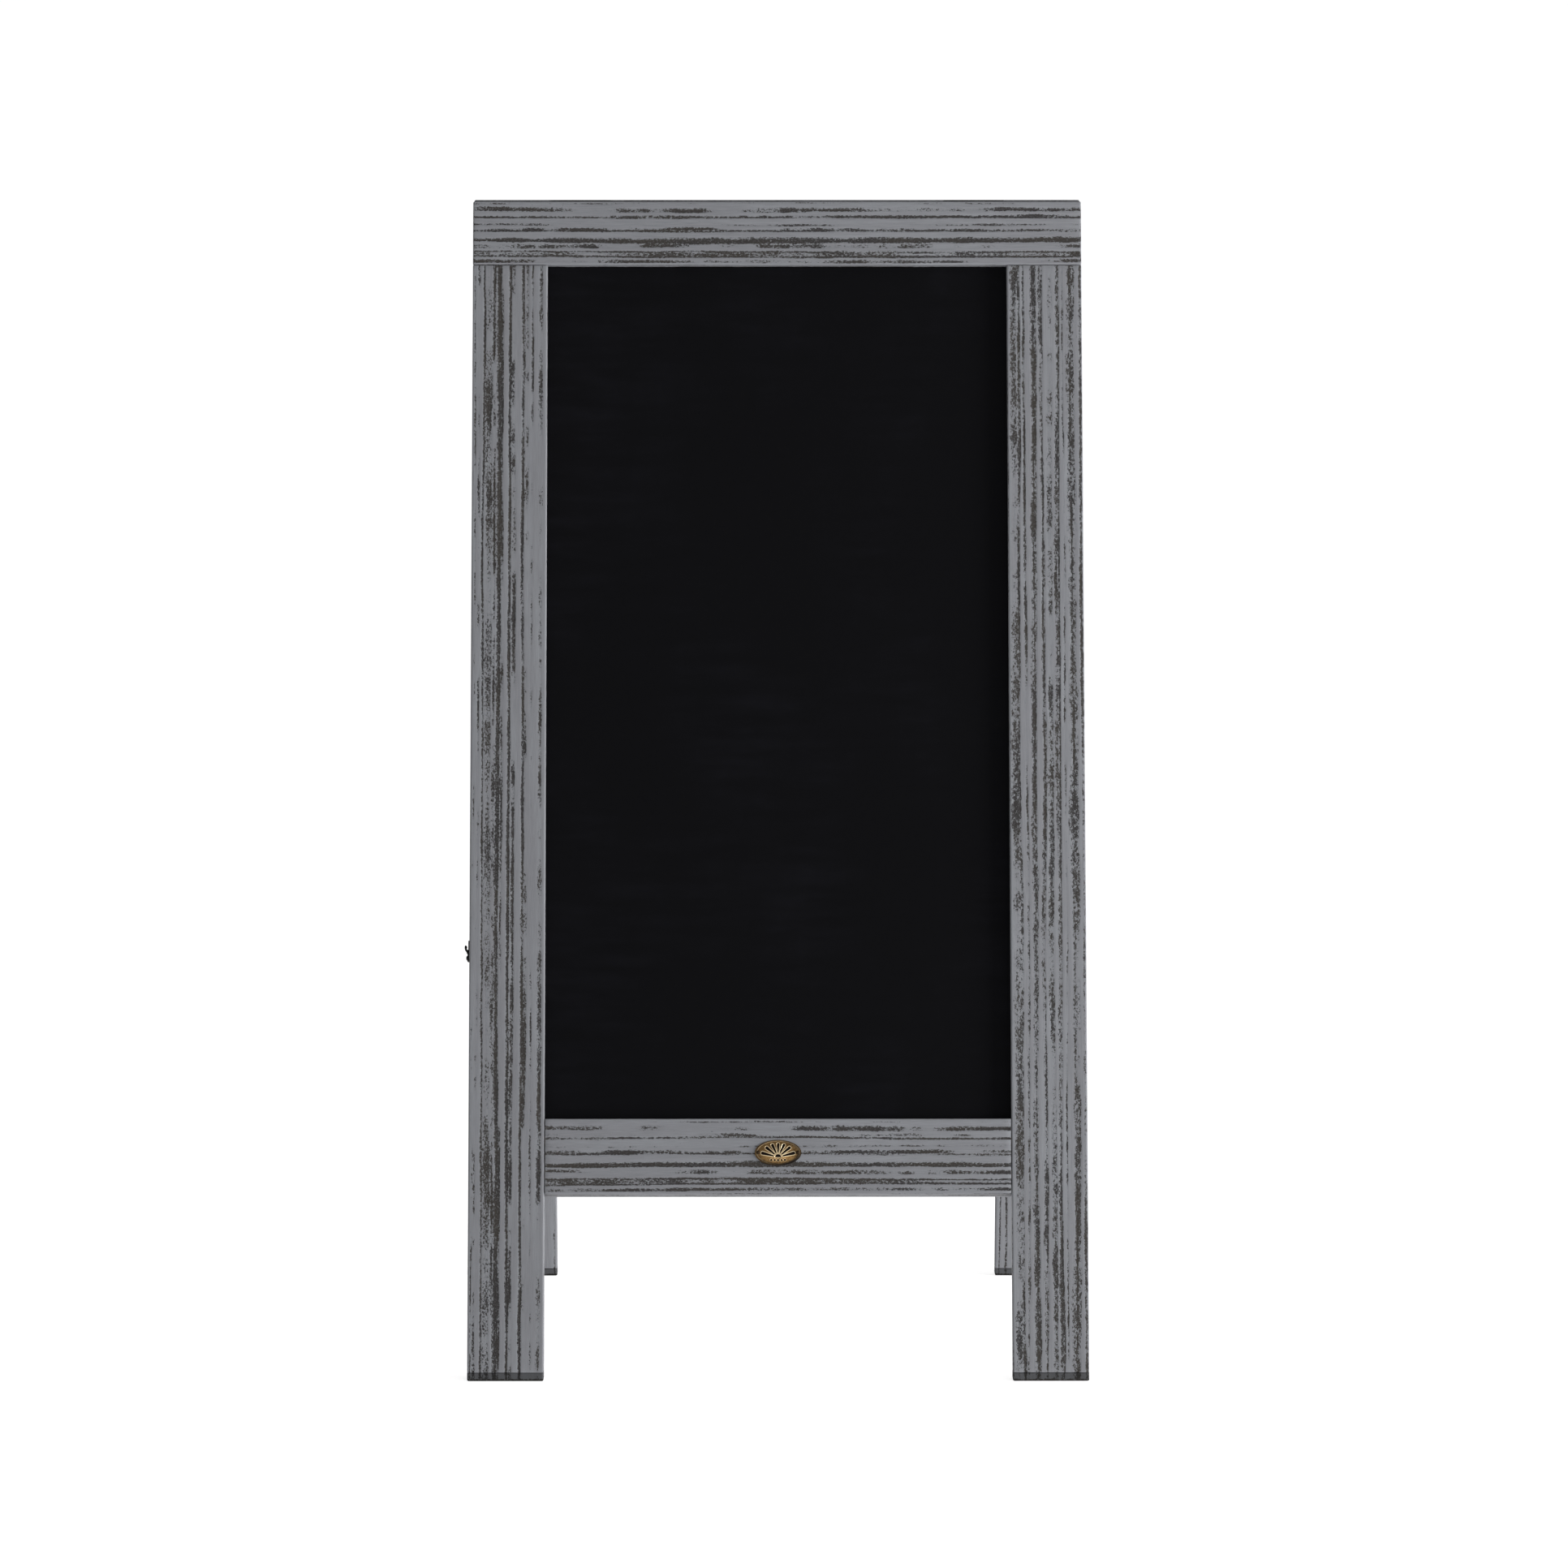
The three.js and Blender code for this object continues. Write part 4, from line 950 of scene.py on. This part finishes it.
def make_badge():
    """The brass oval: a low dome with a rolled rim, and the ornament sunk in it."""
    low, high = own_box("badge_plate", "front")
    half_width, half_height = (high[X] - low[X]) / 2 / MM, (high[Z] - low[Z]) / 2 / MM
    rise = (high[Y] - low[Y]) / MM
    share = np.repeat(np.arange(1, BADGE_RINGS + 1) / BADGE_RINGS, BADGE_SECTORS)
    turn = np.tile(np.arange(BADGE_SECTORS) * 2 * math.pi / BADGE_SECTORS, BADGE_RINGS)
    share, turn = np.append(0, share), np.append(0, turn)
    x, z = half_width * share * np.cos(turn), half_height * share * np.sin(turn)
    dome = rise - 1.05 * (share / 0.85) ** 2.2
    rim = 0.28 * np.exp(-((share - RIM_SHARE) / RIM_SPREAD) ** 2)
    into_roll = np.maximum(share - (1 - ROLLED_SHARE), 0) / ROLLED_SHARE
    rolled = np.sqrt(np.clip(1 - into_roll ** 2, 0, 1))
    away = np.where(share > MOTIF_SHARE, half_width, badge_motif(x, z))
    engraved = np.clip(0.5 - away / 0.2, 0, 1)
    # The border is fainter below the ornament: a lower ridge there, and less painted highlight.
    border = np.exp(-((away - 0.36) / 0.22) ** 2) * np.clip((z + 5) / 1.5, 0.3, 1)
    height = dome + rim + 0.16 * border - 0.45 * engraved
    height = BADGE_EDGE + (height - BADGE_EDGE) * rolled
    height = np.minimum(height, rise)
    top = np.stack([x, -height, z], 1)
    foot = np.stack([x[-BADGE_SECTORS:], np.zeros(BADGE_SECTORS), z[-BADGE_SECTORS:]], 1)
    foot[:, [0, 2]] *= 1 - 0.3 / half_height
    points = np.concatenate([top, foot, [[0, 0, 0]]])
    ring = np.arange(BADGE_SECTORS)
    after = np.roll(ring, -1)
    faces = [(0, 1 + i, 1 + j) for i, j in zip(ring, after)]
    for start in range(1, 1 + BADGE_RINGS * BADGE_SECTORS, BADGE_SECTORS):
        outer = start + BADGE_SECTORS
        faces += [(start + i, outer + i, outer + j, start + j) for i, j in zip(ring, after)]
    back = len(points) - 1
    last = back - BADGE_SECTORS
    faces += [(last + i, back, last + j) for i, j in zip(ring, after)]
    centre = Vector(((low[X] + high[X]) / 2, high[Y], (low[Z] + high[Z]) / 2))
    axes = AXES["front"] @ Matrix.Translation(centre) @ Matrix.Scale(MM, 4)
    obj = new_object("badge_plate_struck", moved(points, axes), faces)
    # Painted shade: darker towards the rim, most at the lower right. It is stored with the
    # engraving.
    lower_right = 0.5 + 0.5 * np.cos(turn + math.radians(50))
    painted_rim_shade = np.clip((share - 0.5) / 0.42, 0, 1) ** 1.2 * (0.5 + 0.5 * lower_right)
    for name, values in (("engraved", np.maximum(engraved, painted_rim_shade)),
                         ("rubbed_and_highlight", np.maximum(border, rim * 1.2))):
        marked = obj.data.attributes.new(name, "FLOAT", "POINT")
        padded = np.append(values, np.full(BADGE_SECTORS + 1, values[-1]))
        marked.data.foreach_set("value", padded.astype(np.float32))
    carve(obj, [drill(f"badge_nail_{side}", "front", Y, NAIL_HOLE) for side in SIDES])
    smooth_within(obj, 60)
    stands_for(obj, "front_frame", "antique_brass", LOOKS["antique_brass"], "badge_plate")


make_badge()
for side in SIDES:
    nail = make_turned(f"badge_nail_{side}", "front_frame", "front", Y, 1,
                       domed(head=1.5, height=0.85, shank=0.7, length=9.5), "antique_brass")
    darkening = nail.data.attributes.new("engraved", "FLOAT", "POINT")
    darkening.data.foreach_set("value", np.full(len(nail.data.vertices), 0.9, np.float32))


# ---------------------------------------------------------------- limit chains

LINKS = 31

# Sizes in millimetres.
WIRE_RADIUS = 0.7
LINK_HALF_WIDTH = 2.1  # to the middle of the wire
CHAIN_SCREW_RADIUS = 1.2
CHAIN_SAG = 7


def link(pitch, place):
    """One welded link in the matrix's x-y plane, long in x, as a closed tube."""
    half_length = (pitch + 2 * WIRE_RADIUS) / 2
    bend = half_length - LINK_HALF_WIDTH
    steps, sides = 10, 10
    turns = np.linspace(-math.pi / 2, math.pi / 2, steps + 1)
    turns = np.concatenate([turns, turns + math.pi])
    centres = np.zeros((len(turns), 2))
    centres[:steps + 1, 0] = bend
    centres[steps + 1:, 0] = -bend
    outward = np.stack([np.cos(turns), np.sin(turns)], 1)
    rolls = np.arange(sides) * 2 * math.pi / sides
    reach = LINK_HALF_WIDTH + WIRE_RADIUS * np.cos(rolls)
    points = np.zeros((len(turns), sides, 3))
    points[:, :, :2] = centres[:, None, :] + outward[:, None, :] * reach[None, :, None]
    points[:, :, 2] = -WIRE_RADIUS * np.sin(rolls)[None, :]
    faces = []
    for i in range(len(turns)):
        j = (i + 1) % len(turns)
        for k in range(sides):
            n = (k + 1) % sides
            faces.append((i * sides + k, i * sides + n, j * sides + n, j * sides + k))
    return moved(points.reshape(-1, 3) * MM, place), faces


def make_chain(side):
    """A limit chain from the front frame's screw to the rear one's, hanging a little slack."""
    node = f"limit_chain_{side}"
    low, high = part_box(node)
    x = (low.x + high.x) / 2
    screw = AXES["front"] @ Vector(np.add(*own_box(f"front_chain_screw_{side}", "front")) / 2)
    reach = -screw.y
    pitch = 2 * (reach / MM + CHAIN_SCREW_RADIUS) / LINKS
    parts = []
    for i in range(LINKS):
        y = (i - (LINKS - 1) / 2) * pitch * MM
        share = y / reach
        z = screw.z - CHAIN_SAG * MM * (1 - share * share)
        slope = math.atan2(2 * CHAIN_SAG * MM * share, reach)
        turn = Matrix.Rotation(slope, 4, "X") @ Matrix.Rotation(math.pi / 2, 4, "Z")
        roll = Matrix.Rotation(math.pi / 2 if i % 2 == 0 else 0, 4, "X")
        parts.append(link(pitch, Matrix.Translation((x, y, z)) @ turn @ roll))
    obj = new_object(f"{node}_links", *combined(parts))
    smooth_within(obj, 60)
    stands_for(obj, "front_frame", "steel", LOOKS["steel"], node)
    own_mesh(obj)


for side in SIDES:
    make_chain(side)


# ---------------------------------------------------------------- camera, floor and light

# The camera is fitted to the outlines of both frames in the photo.
CAMERA_LENS = 228.665
CAMERA_PLACE = (-0.0233, -8.353, 1.256)
CAMERA_DIP = 5.442  # degrees below level
CAMERA_YAW = -0.214
FLOOR_HALF = 220
FLOOR_DROP = 0.2 * MM  # below the feet, so that the surfaces don't meet


def make_camera():
    data = bpy.data.cameras.new("camera")
    data.lens = CAMERA_LENS
    data.sensor_width = 36
    data.clip_end = 1000
    camera = bpy.data.objects.new("camera", data)
    camera.location = CAMERA_PLACE
    camera.rotation_euler = (math.radians(90 - CAMERA_DIP), 0, math.radians(CAMERA_YAW))
    bpy.context.scene.collection.objects.link(camera)
    bpy.context.scene.camera = camera


def make_floor():
    corners = [(-1, -1), (1, -1), (1, 1), (-1, 1)]
    points = [(x * FLOOR_HALF, y * FLOOR_HALF, -FLOOR_DROP) for x, y in corners]
    floor = new_object("floor", points, [(0, 1, 2, 3)])
    floor.data.materials.append(studio_floor("studio_floor"))


def make_area_light(name, place, aim, size, power):
    data = bpy.data.lights.new(name, "AREA")
    data.shape = "DISK"
    data.size = size
    data.energy = power
    light = bpy.data.objects.new(name, data)
    light.location = place
    direction = Vector(aim) - Vector(place)
    light.rotation_euler = direction.to_track_quat("-Z", "Y").to_euler()
    bpy.context.scene.collection.objects.link(light)


def make_sky(left, right):
    """Even light from all round that grows stronger from left to right."""
    world = bpy.data.worlds.new("sky")
    world.use_nodes = True
    tree = world.node_tree
    direction = tree.nodes.new("ShaderNodeTexCoord")
    split = tree.nodes.new("ShaderNodeSeparateXYZ")
    ramp = tree.nodes.new("ShaderNodeMapRange")
    ramp.inputs["From Min"].default_value = -1
    ramp.inputs["To Min"].default_value = left
    ramp.inputs["To Max"].default_value = right
    background = tree.nodes["Background"]
    background.inputs["Color"].default_value = (1, 1, 1, 1)
    tree.links.new(direction.outputs["Generated"], split.inputs["Vector"])
    tree.links.new(split.outputs["X"], ramp.inputs["Value"])
    tree.links.new(ramp.outputs["Result"], background.inputs["Strength"])
    bpy.context.scene.world = world


make_camera()
make_floor()
make_sky(left=0.22, right=0.4)
make_area_light("key", place=(3.3, -1.2, 0.5), aim=(0, -0.2, 0.4), size=1.3, power=180)
make_area_light("fill", place=(0.6, -6.5, 0.5), aim=(0, 0, 0.4), size=2.6, power=80)
make_area_light("overhead", place=(0.3, -0.6, 3.4), aim=(0, -0.2, 0.5), size=1.6, power=6)
bpy.context.scene.view_settings.view_transform = "Standard"
